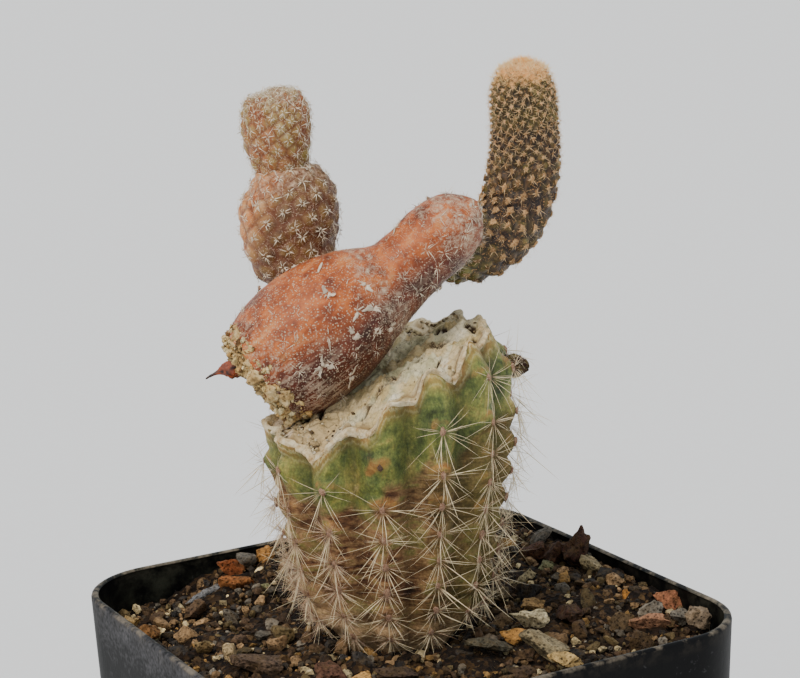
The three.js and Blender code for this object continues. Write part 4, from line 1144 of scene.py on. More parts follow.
def build_callus_flakes():
    """Torn flakes and crumbs that stand on the callus."""
    rng = np.random.default_rng(95)
    ball, faces = bead_shape()
    flakes, tints = [], []
    for number in range(FLAKES):
        if number < HEAPED_FLAKES:
            x, y = np.array(FLAKE_HEAPS[number % len(FLAKE_HEAPS)]) + rng.normal(0, 1.1, 2)
            angle = math.atan2(y, x - STOCK_AXIS_X)
            radius = float(edge_radius(np.array([angle]))[0])
            inset = max(radius - math.hypot(x - STOCK_AXIS_X, y), 0.7)
        else:
            angle, inset = rng.uniform(0, TURN), rng.uniform(0.8, 7)
        at = callus_surface(np.array([inset]), 0.15, np.array([angle]))[0]
        size = rng.uniform(0.1, 0.34) * np.array([1, rng.uniform(0.5, 1), rng.uniform(0.3, 0.7)])
        grain = broken_stone(ball, rng, 6) * size
        flakes.append(turned(grain, rng.uniform(0, TURN), *rng.normal(0, 0.6, 2)) + at)
        tints.append(np.array(colour(rng.choice(FLAKE_TONES))[:3]))
    mesh = copies_of("callus_flakes", faces, np.array(flakes), {"tint": np.array(tints)})
    piece(mesh, broken_grains("callus_crumbs_dried", "#a58f68", 0.35, 0.4, 0.92), "callus_cork")


def needle_shape(sides, rows, thickness, taper=0.75):
    """Closed needle from 0 to 1 along Z, one unit wide, round or flattened, that narrows by its taper."""
    bm = bmesh.new()
    bmesh.ops.create_uvsphere(bm, u_segments=sides, v_segments=rows, radius=1)
    for vert in bm.verts:
        share = math.acos(max(-1, min(1, -vert.co.z))) / math.pi
        angle = math.atan2(vert.co.y, vert.co.x)
        at_pole = vert.co.xy.length < 1e-4
        girth = 0 if at_pole else 1 - taper * share
        vert.co = (girth * math.cos(angle), girth * thickness * math.sin(angle), share)
    return shape_of(bm)


def columns_of(rows):
    return [np.array(column) for column in zip(*rows)]


def needles(name, shape, roots, directions, normals, lengths, widths, bends, tints):
    """Needles from their roots along their directions, each bent by a vector at its tip."""
    points, faces = shape
    forward = unit(directions)
    wide = unit(np.cross(normals, forward))
    thin = np.cross(forward, wide)
    placed = roots[:, None] + (
        points[None, :, 0, None] * (wide * widths[:, None])[:, None]
        + points[None, :, 1, None] * (thin * widths[:, None])[:, None]
        + points[None, :, 2, None] * (forward * lengths[:, None])[:, None]
        + (points[None, :, 2, None] ** 2) * bends[:, None])
    reach = np.tile(points[:, 2], (len(roots), 1))
    return copies_of(name, faces, placed, {"reach": reach, "tint": tints})


def stock_frames():
    """Place, outward, upward and sideways directions of each areole of the rootstock."""
    ribs = np.array([rib for rib, _ in STOCK_AREOLES])
    heights = np.array([height for _, height in STOCK_AREOLES])
    angle = FIRST_RIB + ribs * TURN / RIBS
    points, _ = stock_skin(angle, heights)
    slope = (stock_radius(heights + 1) - stock_radius(heights - 1)) / 2
    flat = np.stack([np.cos(angle), np.sin(angle), np.zeros(len(angle))], axis=1)
    outward = unit(flat - slope[:, None] * [0, 0, 1])
    upward = unit(flat * slope[:, None] + [0, 0, 1])
    return ribs, heights, points, outward, upward, np.cross(upward, outward)


def build_stock_areoles():
    """Fans of stout spines with fine ones between them, and a tuft of felt on each areole."""
    ribs, heights, points, outward, upward, sideways = stock_frames()
    spined = ~is_scar(ribs, heights)
    rng = np.random.default_rng(91)
    stout, fine = [], []

    def spine(rows, i, turn, lift, length, width, sag, curl):
        along = upward[i] * math.sin(turn) + sideways[i] * math.cos(turn)
        root = points[i] + outward[i] * 0.1 + along * rng.uniform(0.05, 0.3)
        bend = -outward[i] * length * sag + rng.normal(0, curl, 3) * length
        forward = unit(along + outward[i] * lift)
        rows.append((root, forward, outward[i], length, width, bend, rng.uniform(0.62, 1.05)))

    for i in np.flatnonzero(spined):
        low = float(smoothstep(16 - heights[i], 0, 6))
        left = float(smoothstep(-points[i][0], 0, 10))
        foot = float(smoothstep(4 - heights[i], 0, 4))
        first, last = math.radians(-200 - 20 * low), math.radians(20 + 20 * low)
        for turn in np.linspace(first, last, rng.integers(11, 15)):
            length = rng.uniform(3.2, 6.9) * (1 - 0.35 * foot) * (1 - 0.3 * low * math.sin(turn) ** 2)
            spine(
                stout, i, turn + rng.normal(0, 0.28), rng.uniform(0.1, 0.5 + 0.4 * low), length,
                rng.uniform(0.024, 0.043), rng.uniform(-0.02, 0.1), 0.09)
        for _ in range(rng.integers(1, 3)):
            spine(
                stout, i, math.radians(rng.uniform(-160, -20)), rng.uniform(0.6, 1.6),
                rng.uniform(3.8, 7) * (1 - 0.4 * foot), rng.uniform(0.046, 0.072),
                rng.uniform(-0.03, 0.06), 0.07)
        for _ in range(5):
            spine(
                stout, i, rng.uniform(0, TURN), rng.uniform(0.1, 0.9),
                rng.uniform(1.6, 4.6), rng.uniform(0.028, 0.04), 0.15, 0.1)
        for _ in range(int(4 + 10 * low + 96 * low * left)):
            spine(
                fine, i, rng.uniform(0, TURN), rng.uniform(0.1, 1.2),
                rng.uniform(0.9, 3.0), rng.uniform(0.014, 0.026), 0.12, 0.32)
    straw = dry_spine("cactus_spine_dried_straw", "#a06a50", "#e2d0aa", "#b89a70", 0.15)
    piece(needles("rootstock_spines", needle_shape(4, 4, 1), *columns_of(stout)), straw, "stock_skin")
    pinkish = dry_spine("cactus_spine_fine_pinkish", "#a87a60", "#dab99c", "#d6b898", 0.2)
    piece(needles("rootstock_fine_spines", needle_shape(3, 3, 1), *columns_of(fine)), pinkish, "stock_skin")

    tufts, tuft_points = [], []
    ball, faces = ball_shape(2)
    for i in range(len(ribs)):
        size = np.array([0.36, 0.5, 0.2]) * (rng.uniform(0.8, 1.2) if spined[i] else 0.8)
        lump = ball * (1 + 0.3 * rough_noise(ball + i, 0.5, 92 + i)[:, None]) * size
        axes = np.stack([sideways[i], upward[i], outward[i]])
        tuft_points.append(points[i] + outward[i] * 0.02 + lump @ axes)
        tufts.append(0.95 if spined[i] else 0.25)
    felt = copies_of("rootstock_areoles", faces, np.array(tuft_points), {"tint": np.array(tufts)})
    piece(felt, woolly_felt("areole_felt_aged", "#7c5642", "#cca588"), "stock_skin")


# Scion

def spline_at(values, t, centripetal):
    """Catmull-Rom curve through rows of values, t from 0 at the first to 1 at the last."""
    values = np.asarray(values, float)
    last = len(values) - 1
    place = np.clip(t, 0, 1) * last
    low = np.minimum(np.floor(place).astype(int), last - 1)
    part = (place - low)[:, None]
    if centripetal:
        padded = np.vstack([2 * values[0] - values[1], values, 2 * values[-1] - values[-2]])
    else:
        padded = np.vstack([values[0], values, values[-1]])
    a, b, c, d = (padded[low + i] for i in range(4))
    if centripetal:
        gaps = [np.sqrt(np.linalg.norm(q - p, axis=1))[:, None] for p, q in ((a, b), (b, c), (c, d))]
        start = ((b - a) / gaps[0] - (c - a) / (gaps[0] + gaps[1]) + (c - b) / gaps[1]) * gaps[1]
        end = ((c - b) / gaps[1] - (d - b) / (gaps[1] + gaps[2]) + (d - c) / gaps[2]) * gaps[1]
    else:
        start, end = (c - a) / 2, (d - b) / 2
    square = 3 * (c - b) - 2 * start - end
    cube = 2 * (b - c) + start + end
    return b + start * part + square * part**2 + cube * part**3


STEM_STEPS = 900
STEM_FOOT_STEPS = 40


class Stem:
    """A stem segment: its middle line, girth and skin. Share runs evenly over its skin from foot to tip."""

    def __init__(self, stations, across):
        stations = np.array(stations, float)
        t = np.linspace(0, 1, STEM_STEPS)
        middle = spline_at(stations[:, :3], t, True)
        girth = np.sqrt(np.maximum(spline_at(stations[:, 3:4] ** 2, t, False)[:, 0], 0))
        forward = unit(np.gradient(middle, axis=0))
        grow = np.linspace(0, 1, STEM_FOOT_STEPS, endpoint=False)
        self.middle = np.vstack([np.repeat(middle[:1], STEM_FOOT_STEPS, 0), middle])
        self.forward = np.vstack([np.repeat(forward[:1], STEM_FOOT_STEPS, 0), forward])
        self.radius = np.concatenate([girth[0] * grow, girth])
        flat = np.array(across, float)
        self.side = unit(flat - (self.forward @ flat)[:, None] * self.forward)
        self.other = np.cross(self.forward, self.side)
        step = np.sum(np.diff(self.middle, axis=0) * self.forward[1:], axis=1)
        rise = np.diff(self.radius)
        skin = np.hypot(step, rise)
        self.length = np.concatenate([[0], np.cumsum(skin)])
        self.share = self.length / self.length[-1]
        height = np.concatenate([[0], np.cumsum(step)])
        self.lean = unit(np.stack([np.gradient(height), -np.gradient(self.radius)], axis=1))
        area = (self.radius[1:] + self.radius[:-1]) / 2 * skin * TURN
        self.area = np.concatenate([[0], np.cumsum(area)])
        self.foot_share = self.share[STEM_FOOT_STEPS]

    def read(self, share, values):
        if values.ndim == 1:
            return np.interp(share, self.share, values)
        return np.stack([np.interp(share, self.share, column) for column in values.T], axis=1)

    def skin(self, share, angle):
        """Points of the smooth skin, outward and forward directions, and points of the stem laid straight."""
        middle, forward = self.read(share, self.middle), unit(self.read(share, self.forward))
        side, other = unit(self.read(share, self.side)), unit(self.read(share, self.other))
        radius, lean = self.read(share, self.radius), unit(self.read(share, self.lean))
        ring = np.cos(angle)[:, None] * side + np.sin(angle)[:, None] * other
        outward = ring * lean[:, :1] + forward * lean[:, 1:]
        onward = forward * lean[:, :1] - ring * lean[:, 1:]
        along = self.read(share, self.length)
        straight = np.stack([radius * np.cos(angle), radius * np.sin(angle), along], axis=1)
        return middle + ring * radius[:, None], outward, onward, straight * MM

    def spiral(self, spacing, start):
        """Shares and angles of areoles in spiral rows. Their spacing may change with the share."""
        at = spacing(self.share)
        turns = np.concatenate([[0], np.cumsum(np.diff(self.area) / (0.87 * at[1:] ** 2))])
        numbers = np.arange(0.5, turns[-1])
        share = np.interp(numbers, turns, self.share)
        angle = (numbers * GOLDEN_TURN) % TURN
        kept = share > max(start, self.foot_share)
        return share[kept], angle[kept], at[np.searchsorted(self.share, share[kept]).clip(0, len(at) - 1)]


def build_skin(name, stem, around, along, relief, areoles, look, wrinkles, sharpness, material, slot, node):
    """Skin of a segment with a tubercle under each areole. Look gives more notes by place and share."""
    site_share, site_angle, spacing = areoles
    sites = stem.skin(site_share, site_angle)[0]

    def place(share, angle):
        points, outward, _, straight = stem.skin(share, angle)
        near, second, index = nearest_two(points, sites)
        local = spacing[index]
        crest = np.clip((second - near) / local, 0, 1)
        rise = 1 - (1 - crest) ** sharpness
        fade = smoothstep(stem.read(share, stem.radius), 0.2, 2.5)
        height = relief * (rise - 1) * fade
        coarse = wrinkles * rough_noise(straight / MM, 1.5, 17) * (1 - rise)
        height += coarse + 0.4 * wrinkles * rough_noise(points, 0.8, 18)
        notes = {"rise": rise, "straight": straight}
        notes.update(look(points, share))
        return points + outward * height[:, None], notes
    mesh = wrapped_body(name, around, along, place)
    piece(mesh, material, slot, node)


def star_spines(stem, areoles, rng, counts, lengths, width, lift, lean_back, sag, jitter, curl, facing=None):
    """Roots and directions of the short spines that fan from each areole, as arrays for needles()."""
    share, angle = areoles[:2]
    points, outward, onward, _ = stem.skin(share, angle)
    sideways = np.cross(outward, onward)
    rows = []
    for i in range(len(share)):
        count = rng.integers(*counts)
        first = rng.uniform(0, TURN) if facing is None else facing
        for k in range(count):
            turn = first + k * TURN / count + rng.normal(0, jitter)
            along = onward[i] * math.sin(turn) + sideways[i] * math.cos(turn)
            length = rng.uniform(*lengths)
            direction = along + outward[i] * rng.uniform(*lift) + onward[i] * lean_back
            root = points[i] + along * 0.08 + outward[i] * 0.02
            bend = (-outward[i] * rng.uniform(0.3, 1) * sag + rng.normal(0, curl, 3)) * length
            wide = width * rng.uniform(0.7, 1.3)
            rows.append((root, direction, outward[i], length, wide, bend, rng.uniform(0.75, 1.1)))
    return columns_of(rows)


def spread_hairs(stem, rng, count, shares, lengths, width, lift, sag, curl=0.35):
    """Loose hairs strewn over a stretch of a stem."""
    area = rng.uniform(*np.interp(shares, stem.share, stem.area), count)
    share = np.interp(area, stem.area, stem.share)
    angle = rng.uniform(0, TURN, count)
    points, outward, onward, _ = stem.skin(share, angle)
    sideways = np.cross(outward, onward)
    turn = rng.uniform(0, TURN, count)
    along = onward * np.sin(turn)[:, None] + sideways * np.cos(turn)[:, None]
    direction = along + outward * rng.uniform(*lift, count)[:, None]
    length = rng.uniform(*lengths, count)
    bends = (rng.normal(0, curl, (count, 3)) - outward * sag) * length[:, None]
    widths = width * rng.uniform(0.7, 1.2, count)
    return [points, direction, outward, length, widths, bends, rng.uniform(0.75, 1.1, count)]


def joined(*parts):
    return [np.concatenate(columns) for columns in zip(*parts)]


# Marks on the main segment that the photograph shows: [share along its skin, degrees round it, kind]
MAIN_MARKS = [
    (0.45, 127, "bar"), (0.437, 150, "scale"), (0.421, 161, "scab"), (0.54, 161, "scale"),
    (0.527, 184, "scale"), (0.48, 178, "scale"), (0.543, 218, "scale"), (0.495, 208, "scale"),
    (0.433, 193, "scale"), (0.377, 180, "star"), (0.408, 207, "star"), (0.459, 225, "star"),
    (0.3, 168, "curl"), (0.259, 187, "star"), (0.313, 198, "crumple"), (0.343, 203, "scale"),
    (0.358, 225, "crumple"), (0.604, 195, "scab"), (0.658, 216, "star"), (0.651, 179, "star"),
    (0.75, 175, "star"), (0.781, 196, "star"), (0.804, 174, "curl"), (0.824, 208, "star"),
    (0.862, 199, "star"), (0.907, 186, "star"), (0.32, 114, "scab"), (0.381, 128, "scab"),
    (0.26, 219, "star"), (0.495, 151, "scab"), (0.302, 137, "scab"), (0.28, 161, "scab"),
    (0.349, 148, "scab"), (0.565, 201, "scab"), (0.74, 208, "star"), (0.626, 203, "scab"),
    (0.296, 243, "star"), (0.7, 196, "curl"), (0.69, 150, "scab"), (0.84, 150, "curl"),
    (0.88, 165, "scab"), (0.79, 140, "scab"), (0.93, 205, "star"), (0.58, 228, "star"),
    (0.7, 226, "star"),
]
MAIN_IN_VIEW = (100, 250)

# Fans of spines on the main segment:
# [kind of mark, part of the unseen areoles, spines, lengths, width, lift, sag, unevenness, curl]
MAIN_FANS = [
    ("star", 0.75, (5, 9), (0.6, 1.2), 0.065, (0.1, 0.5), 0.25, 0.45, 0.4),
    ("curl", 0.1, (3, 5), (0.8, 1.3), 0.06, (0.1, 0.4), 0.1, 0.5, 0.6),
    ("crumple", 0.05, (5, 8), (0.8, 1.4), 0.05, (0.2, 0.7), 0.1, 0.5, 0.5),
    ("scab", 0.1, (4, 7), (0.3, 0.6), 0.05, (0.0, 0.3), 0.1, 0.5, 0.2),
    ("scale", 0, (2, 5), (0.5, 1.0), 0.05, (0.1, 0.5), 0.2, 0.5, 0.3),
]


def papery_scales(stem, areoles, rng, counts, lengths, width, taper, name, paper, facing=None, lift=0.4):
    """Torn papery sheaths: thin, ragged and crumpled, close to the skin."""
    loose = facing is None
    fans = star_spines(
        stem, areoles, rng, counts, lengths, width, (0.02, lift), -0.1 if loose else 0, 0.12,
        0.55 if loose else 0, 0.3 if loose else 0.02, facing)
    mesh = needles(name, needle_shape(6, 7, 0.12, taper), *fans)
    points = points_of(mesh) / MM
    crumple = np.stack([rough_noise(points, 0.4, 105 + k, 3) for k in range(3)], axis=1)
    move_points(mesh, (points + 0.12 * crumple) * MM)
    piece(mesh, paper, "scion_skin")


def build_main_segment(main, paper):
    """The reclining segment, with spines, hairs and papery scraps of the kinds that the photograph shows."""
    rng = np.random.default_rng(101)
    share, angle, spacing = main.spiral(lambda share: 3.3 - 1.5 * smoothstep(share, 0.55, 0.85), 0.2)
    degrees = np.degrees(angle)
    hidden = (degrees < MAIN_IN_VIEW[0]) | (degrees > MAIN_IN_VIEW[1]) | (share > 0.94)
    kinds = np.array([kind for _, _, kind in MAIN_MARKS])
    marks = np.array([(place, math.radians(turn), 2.5) for place, turn, _ in MAIN_MARKS])
    unseen = np.stack([share, angle, spacing], axis=1)[hidden]
    areoles = tuple(np.vstack([marks[kinds != "scab"], unseen]).T)

    def chosen(kind, part_of_unseen):
        some = rng.permutation(len(unseen))[: int(len(unseen) * part_of_unseen)]
        return tuple(np.vstack([marks[kinds == kind], unseen[some]]).T)

    def look(points, share):
        height = points[:, 2] - main.read(share, main.middle)[:, 2]
        girth = np.maximum(main.read(share, main.radius), 0.5)
        under = smoothstep(-height / girth, -0.5, 0.55)
        knob = smoothstep(share, 0.72, 0.86)
        collar = np.exp(-((share - 0.575) / 0.055) ** 2)
        foot = 1 - smoothstep(share, 0.22, 0.42)
        speckled = 0.65 + 0.4 * foot + 0.3 * smoothstep(-height, -2, 4) - 0.3 * smoothstep(share, 0.5, 0.6)
        return {
            # The underside is darker: partly its own mahogany colour, partly painted shade.
            "turned": np.clip(under * (1 - 0.6 * knob) + 0.25 * foot * under, 0, 1),
            "pale": 0.06 + 0.42 * knob + 0.4 * collar + 0.24 * foot,
            "speckled": speckled,
            "streaked": np.clip(foot * (0.3 + 1.3 * under) + 0.3 * under + 0.3 * collar, 0, 1),
        }
    skin = stem_epidermis(
        "cactus_epidermis_reclining", ["#62280e", "#964617", "#b86228", "#c98850"],
        ["#280e08", "#46190e", "#622817", "#7a3e22"], "#4a1e10", 0.1, "#d2bda2", 0.45)
    build_skin("main_segment_skin", main, 216, 148, 0.05, areoles, look, 0.05, 3, skin,
               "scion_skin", "scion_main_segment")
    hair = needle_shape(3, 3, 0.4)
    scaly = dry_spine("cactus_scale_papery_grey", "#a08872", "#c9b9a4", "#d6c8b4", 0.1)
    parts = [
        star_spines(main, chosen(kind, unseen_part), rng, counts, lengths, width, lift, 0, sag, jitter, curl)
        for kind, unseen_part, counts, lengths, width, lift, sag, jitter, curl in MAIN_FANS]
    parts.append(spread_hairs(main, rng, 1100, (0.68, 0.995), (0.3, 0.75), 0.02, (0.05, 0.9), 0.3, 0.6))
    parts.append(spread_hairs(main, rng, 1300, (0.52, 0.68), (0.35, 0.8), 0.024, (0.0, 0.4), 0.3, 0.5))
    parts.append(spread_hairs(main, rng, 260, (0.22, 0.52), (0.3, 0.6), 0.022, (0.0, 0.4), 0.3, 0.5))
    piece(needles("main_segment_spines", hair, *joined(*parts)), paper, "scion_skin")
    scales = chosen("scale", 0.3)
    papery_scales(main, scales, rng, (1, 3), (0.7, 1.3), 0.38, 0.75, "main_segment_papery_scales", scaly)
    papery_scales(main, scales, rng, (3, 6), (0.4, 1.0), 0.09, 0.6, "main_segment_papery_strips", scaly)
    crumpled = chosen("crumple", 0.1)
    papery_scales(main, crumpled, rng, (3, 6), (0.8, 1.5), 0.2, 0.4, "main_segment_crumpled_sheaths", scaly)
    longest = chosen("bar", 0)
    papery_scales(main, longest, rng, (1, 2), (2.0, 2.1), 0.24, 0.3, "main_segment_long_sheath", scaly,
                  math.radians(38), 0.1)


def build_left_segments(lower, upper, paper):
    """The two round segments behind on the left, knobbly, with short spines and down."""
    rng = np.random.default_rng(111)

    def look_of(bloom):
        def look(points, share):
            # The side away from the light is darker: partly its own olive colour, partly painted shade.
            away = points @ np.array([0.75, -0.3, -0.35])
            centre = np.array([-11.6, 9.6, 46]) @ np.array([0.75, -0.3, -0.35])
            return {
                "turned": smoothstep(away - centre, -3.5, 4.0),
                "pale": 0.14 + bloom * smoothstep(share, 0.62, 0.9),
                "speckled": np.full(len(share), 0.35),
                "streaked": np.full(len(share), 0.1),
            }
        return look
    skin = stem_epidermis(
        "cactus_epidermis_globular", ["#9c5228", "#c07840", "#d59c66", "#e2bc90"],
        ["#422512", "#61401e", "#78592a", "#967450"], "#5e2c14", 0.85, "#d6b698", 0.5)
    olive = stem_epidermis(
        "cactus_epidermis_globular_young", ["#8a4a26", "#a0663a", "#9a7c44", "#c0a678"],
        ["#4c2e12", "#6b4c22", "#7d6a2c", "#98844a"], "#6a3216", 0.85, "#dccfae", 0.5)
    low_areoles = lower.spiral(lambda share: 2.7 - 0.9 * smoothstep(share, 0.55, 0.95), 0.2)
    top_areoles = upper.spiral(lambda share: 2.1 - 0.95 * smoothstep(share, 0.3, 0.9), 0.1)
    build_skin("left_lower_skin", lower, 168, 112, 0.38, low_areoles, look_of(0.5), 0.1, 1.7, skin,
               "branch_skin", "scion_left_lower_segment")
    build_skin("left_upper_skin", upper, 150, 100, 0.36, top_areoles, look_of(0.42), 0.09, 1.7, olive,
               "branch_skin", "scion_left_upper_segment")
    hair = needle_shape(3, 4, 0.45)
    down = needle_shape(3, 3, 1)
    for name, stem, areoles, lengths, width in (
            ("left_lower", lower, low_areoles, (0.4, 1.1), 0.085),
            ("left_upper", upper, top_areoles, (0.4, 1.0), 0.066)):
        stars = star_spines(stem, areoles, rng, (6, 10), lengths, width, (0.2, 0.8), -0.15, 0.7, 0.4, 0.25)
        piece(needles(name + "_spines", hair, *stars), paper, "branch_skin")
        fuzz = spread_hairs(stem, rng, 1550, (0.1, 0.995), (0.25, 0.65), 0.02, (0.1, 1.4), 0.2, 0.4)
        piece(needles(name + "_down", down, *fuzz), paper, "branch_skin")


def build_right_segment(right):
    """The finger-shaped segment on the right, with drops of felt and a growing tip of fresh spines."""
    rng = np.random.default_rng(121)

    def spacing_at(share):
        return 2.15 - 0.95 * smoothstep(share, 0.5, 0.68) - 0.25 * smoothstep(share, 0.68, 0.95)

    def look(points, share):
        olive = smoothstep(share, 0.36, 0.14)
        return {
            "turned": (1 - olive) * (1 - 0.5 * smoothstep(share, 0.6, 0.8)),
            "pale": 0.05 + 1.2 * smoothstep(share, 0.83, 0.965),
            "speckled": np.full(len(share), 0.15),
            "streaked": np.full(len(share), 0.15),
        }
    areoles = right.spiral(spacing_at, 0.08)
    skin = stem_epidermis(
        "cactus_epidermis_columnar", ["#34310f", "#4f4a17", "#6b6524", "#837a38"],
        ["#21150f", "#382515", "#51421f", "#756834"], "#150c08", 0.9, "#fbbc76", 0.5)
    build_skin("right_segment_skin", right, 176, 192, 0.5, areoles, look, 0.1, 1.5, skin,
               "branch_skin", "scion_right_segment")
    share, angle, spacing = areoles
    points, outward, onward, _ = right.skin(share, angle)
    sideways = np.cross(outward, onward)
    ball, faces = bead_shape()
    drops = []
    for i in range(len(share)):
        size = spacing[i] * (np.array([0.16, 0.28, 0.08]) if share[i] < 0.6 else np.array([0.16, 0.22, 0.09]))
        size = size * rng.uniform(0.7, 1.15, 3)
        drop = ball * (1 + 0.5 * rough_noise(ball + i, 0.7, 122 + i)[:, None])
        drop[:, 0] *= 1 + 0.75 * drop[:, 1]
        axes = np.stack([sideways[i], onward[i], outward[i]])
        drops.append(points[i] - outward[i] * 0.04 + (drop * size) @ axes)
    tints = rng.uniform(0.5, 1.2, len(drops)) * (0.5 + 0.5 * smoothstep(share, 0.2, 0.42))
    tints *= 1 + 0.6 * smoothstep(share, 0.7, 0.88)
    felt = copies_of("right_segment_areoles", faces, np.array(drops), {"tint": tints})
    piece(felt, woolly_felt("areole_felt_fresh", "#96643a", "#e6bb84"), "branch_skin")
    low = tuple(values[share < 0.6] for values in areoles)
    high = tuple(values[(share >= 0.6) & (share < 0.88)] for values in areoles)
    top = tuple(values[share >= 0.88] for values in areoles)
    parts = [
        star_spines(right, low, rng, (5, 9), (0.4, 0.95), 0.052, (0.1, 0.6), -0.8, 0.3, 0.5, 0.25),
        star_spines(right, high, rng, (8, 12), (0.35, 0.75), 0.038, (0.1, 1.0), -0.3, 0.2, 0.45, 0.28),
        spread_hairs(right, rng, 900, (0.3, 0.9), (0.5, 1.0), 0.018, (0.6, 1.8), 0.1)]
    straw = dry_spine("cactus_spine_living_peach", "#bd7c40", "#e4c090", "#ecc78c", 0.2)
    piece(needles("right_segment_spines", needle_shape(3, 3, 0.6), *joined(*parts)), straw, "branch_skin")
    crown = [
        star_spines(right, top, rng, (8, 13), (0.4, 0.8), 0.036, (0.4, 1.6), 0.1, 0.1, 0.35, 0.3),
        spread_hairs(right, rng, 1300, (0.915, 1.0), (0.4, 0.9), 0.03, (0.3, 1.6), 0.1),
        spread_hairs(right, rng, 560, (0.78, 0.95), (0.3, 0.7), 0.024, (0.3, 1.6), 0.1)]
    peach = dry_spine("cactus_spine_new_peach", "#fbb468", "#ffd79c", "#ffe6b8", 0.35)
    piece(needles("right_segment_crown", needle_shape(3, 3, 0.6), *joined(*crown)), peach, "branch_skin")
    heart = spread_hairs(right, rng, 220, (0.97, 1.0), (0.45, 0.8), 0.045, (0.6, 1.8), 0.1)
    orange = dry_spine("cactus_spine_new_orange", "#f08a30", "#ffb44e", "#ffe07c", 0.3)
    piece(needles("right_segment_heart", needle_shape(3, 3, 0.6), *heart), orange, "branch_skin")


# Loose grains of cork: how many, their tones, and the share of each tone
CORK_CRUMBS = 480
CRUMB_TONES = ["#e2cf9e", "#d2b67c", "#b8935a", "#6e5032"]
CRUMB_SHARES = [0.35, 0.3, 0.2, 0.15]


def build_cork(main):
    """Crumbly cork over the torn foot of the main segment, with loose grains round its edge."""
    middle, forward = main.middle[0], main.forward[0]
    side, other = main.side[0], main.other[0]

    def place(share, angle):
        out = np.interp(share, [0, 0.3, 0.42, 0.5, 0.6, 0.72, 1], [0, 0.84, 0.98, 1.07, 1.1, 0.98, 0])
        deep = np.interp(
            share, [0, 0.2, 0.32, 0.42, 0.5, 0.6, 0.72, 1], [1.5, 1.5, 1.25, 0.85, 0.4, -0.25, -0.6, -0.3])
        ring = np.cos(angle)[:, None] * side + np.sin(angle)[:, None] * other
        creep = np.abs(rough_noise(6 * ring, 2.6, 134)) * smoothstep(share, 0.44, 0.6)
        creep *= 1 - smoothstep(share, 0.74, 0.9)
        deep = deep - 1.6 * creep
        out = out * (1 + 0.12 * creep)
        points = middle + ring * (CORK_RADIUS * out)[:, None] - forward * (CORK_THICKNESS * deep)[:, None]
        shown = smoothstep(out, 0.1, 0.7)
        chunks = np.abs(rough_noise(points, 1.7, 131)) - 0.35
        torn = np.floor(3 * rough_noise(points, 1.0, 132, 3)) / 3
        out_way = unit(ring * out[:, None] - forward * (deep[:, None] + 0.1))
        hollow = 1 - smoothstep(np.abs(rough_noise(points, 2.0, 135)), 0.02, 0.14)
        rise = (chunks + 0.4 * torn - 0.6 * hollow) * shown
        return points + out_way * rise[:, None], {"hollow": 0.8 * hollow * shown}
    cork = crumbling_cork("cork_torn_crumbly", "#3e281a", "#bd9c68", "#e2cc9c")
    piece(wrapped_body("base_cork", 192, 88, place), cork, "cork", "scion_base_cork")
    rng = np.random.default_rng(133)
    ball, faces = bead_shape()
    grains, tints = [], []
    for _ in range(CORK_CRUMBS):
        angle = rng.uniform(0, TURN)
        ring = math.cos(angle) * side + math.sin(angle) * other
        down = rng.uniform(-1.5, 1.4)
        wide = CORK_RADIUS * (1.06 - 0.06 * max(down, 0) ** 2) + 0.4 * max(-down, 0)
        at = middle + ring * (wide + rng.uniform(-0.2, 0.2)) - forward * down
        size = 0.14 + 0.46 * rng.uniform(0, 1) ** 2
        shape = size * np.array([1, rng.uniform(0.45, 1), rng.uniform(0.35, 0.9)])
        grains.append(turned(broken_stone(ball, rng, 7) * shape, *rng.uniform(0, TURN, 3)) + at)
        tints.append(np.array(colour(rng.choice(CRUMB_TONES, p=CRUMB_SHARES))[:3]))
    crumbs = broken_grains("cork_crumbs_dried", "#9c825e", 0.3, 0.35, 0.92)
    piece(copies_of("base_cork_crumbs", faces, np.array(grains), {"tint": np.array(tints)}), crumbs, "cork")


def build_stub_and_bud(paper):
    """The dried root stub in the cork, and the withered bud with its hairs."""
    stub, bud = Stem(ROOT_STUB, ACROSS), Stem(BUD, ACROSS)

    def stub_place(share, angle):
        points, outward, _, _ = stub.skin(share, angle)
        thin = smoothstep(share, 0.55, 0.85)
        ridges = 0.1 * np.sin(3 * angle + 1.3 * share * TURN) + 0.3 * rough_noise(points, 0.6, 141)
        inward = 0.06 + stub.read(share, stub.radius) * 0.3 * thin
        lift = ridges * (1 - thin) - inward * (1 - smoothstep(share, 0.93, 1))
        notes = {"reach": share, "tint": 0.5 + 0.9 * rough_noise(points, 0.5, 144)}
        return points + outward * lift[:, None], notes

    def bud_place(share, angle):
        points, outward, _, _ = bud.skin(share, angle)
        folds = 0.16 * np.sin(7 * angle + 3 * share) + 0.25 * rough_noise(points, 0.8, 142)
        return points + outward * (folds * smoothstep(share, 0, 0.2))[:, None], {}
    bark = dry_spine("root_dried_bark", "#5e2412", "#8c3f1c", "#3f332b", 0)
    piece(wrapped_body("root_stub", 40, 70, stub_place), bark, "dry_root", "scion_root_stub")
    withered = crumbling_cork("flower_bud_withered", "#120a09", "#33191a", "#6e6440")
    piece(wrapped_body("withered_bud", 72, 48, bud_place), withered, "dry_bud", "withered_flower_bud")
    rng = np.random.default_rng(143)
    hairs = spread_hairs(bud, rng, 260, (0.1, 0.7), (0.5, 1.7), 0.022, (0.4, 2.0), 0.1)
    piece(needles("withered_bud_hairs", needle_shape(3, 3, 1), *hairs), paper, "dry_bud")


# Stage

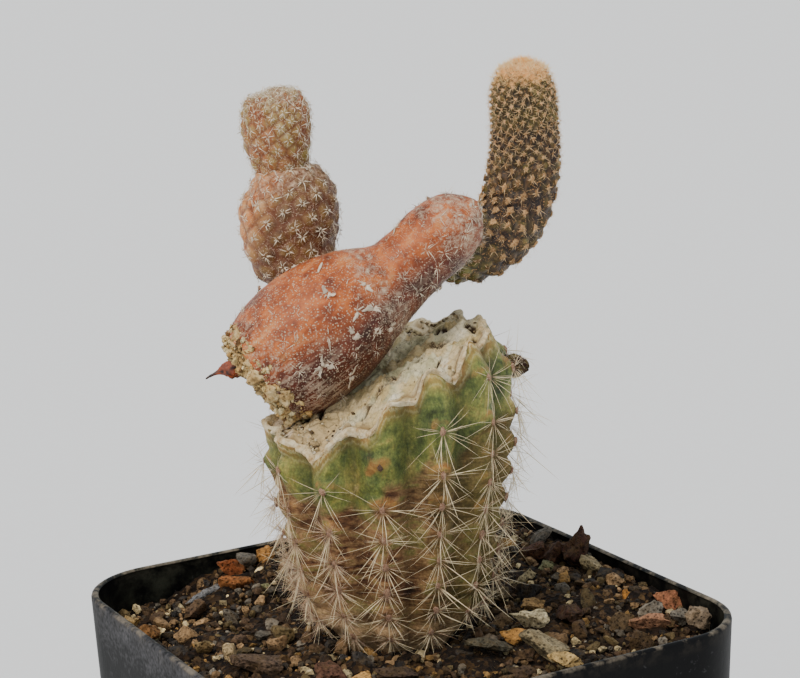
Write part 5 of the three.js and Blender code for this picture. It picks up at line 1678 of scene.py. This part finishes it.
def build_stage():
    """Pale floor and daylight: a soft sun from the left, a weak one from the right and an even sky."""
    bm = bmesh.new()
    bmesh.ops.create_circle(bm, cap_ends=True, segments=128, radius=6)
    floor = bpy.data.objects.new("studio_floor", mesh_of("studio_floor", bm))
    bpy.context.scene.collection.objects.link(floor)
    floor.data.materials.append(pale_paper_floor())
    world = bpy.data.worlds.new("studio_light")
    bpy.context.scene.world = world
    world.use_nodes = True
    world.node_tree.nodes["Background"].inputs["Color"].default_value = colour("#e8eff5")
    world.node_tree.nodes["Background"].inputs["Strength"].default_value = 1.06
    for name, azimuth, elevation, spread, strength, tone in (
            ("key_softbox", -66, 50, 34, 2.35, "#fff4e6"),
            ("fill_softbox", 60, 35, 60, 0.2, "#f4f4ff")):
        light = bpy.data.lights.new(name, "SUN")
        light.energy = strength
        light.angle = math.radians(spread)
        light.color = colour(tone)[:3]
        lamp = bpy.data.objects.new(name, light)
        turn, rise = math.radians(azimuth), math.radians(elevation)
        towards = Vector((math.sin(turn) * math.cos(rise), -math.cos(turn) * math.cos(rise), math.sin(rise)))
        lamp.rotation_euler = towards.to_track_quat("Z", "Y").to_euler()
        bpy.context.scene.collection.objects.link(lamp)


# Camera: degrees, millimetres from the middle of the rim, and a lens in millimetres
CAMERA = {
    "azimuth": -29.13, "elevation": 12.20, "roll": -2.15,
    "distance": 248.2, "across": -0.18, "up": 30.42, "lens": 95.8,
}


def build_camera():
    """Camera at the photograph's place, which was found from the corners of the pot's rim."""
    turn, rise, roll = (math.radians(CAMERA[key]) for key in ("azimuth", "elevation", "roll"))
    back = Vector((math.sin(turn) * math.cos(rise), -math.cos(turn) * math.cos(rise), math.sin(rise)))
    level = Vector((math.cos(turn), math.sin(turn), 0))
    upright = back.cross(level)
    right = level * math.cos(roll) + upright * math.sin(roll)
    up = upright * math.cos(roll) - level * math.sin(roll)
    rim_middle = Vector((0, 0, POT_HEIGHT))
    place = back * CAMERA["distance"] + right * CAMERA["across"] + up * CAMERA["up"] + rim_middle
    data = bpy.data.cameras.new("photo_camera")
    data.lens = CAMERA["lens"]
    data.sensor_width = 36
    data.sensor_fit = "HORIZONTAL"
    data.clip_start = 0.01
    data.clip_end = 50
    camera = bpy.data.objects.new("photo_camera", data)
    camera.matrix_world = Matrix.Translation(place * MM) @ Matrix((right, up, back)).transposed().to_4x4()
    bpy.context.scene.collection.objects.link(camera)
    bpy.context.scene.camera = camera


build_camera()
build_stage()
build_pot()
build_bed()
build_grit()
build_stock()
build_callus()
build_callus_flakes()
build_stock_areoles()
papery = dry_spine("cactus_spine_papery_white", "#c9b096", "#ded0b8", "#e6dac6", 0.15)
main_stem = Stem(MAIN_SEGMENT, ACROSS)
build_main_segment(main_stem, papery)
build_left_segments(Stem(LEFT_LOWER_SEGMENT, ACROSS), Stem(LEFT_UPPER_SEGMENT, ACROSS), papery)
build_right_segment(Stem(RIGHT_SEGMENT, ACROSS_RIGHT_SEGMENT))
build_cork(main_stem)
build_stub_and_bud(papery)
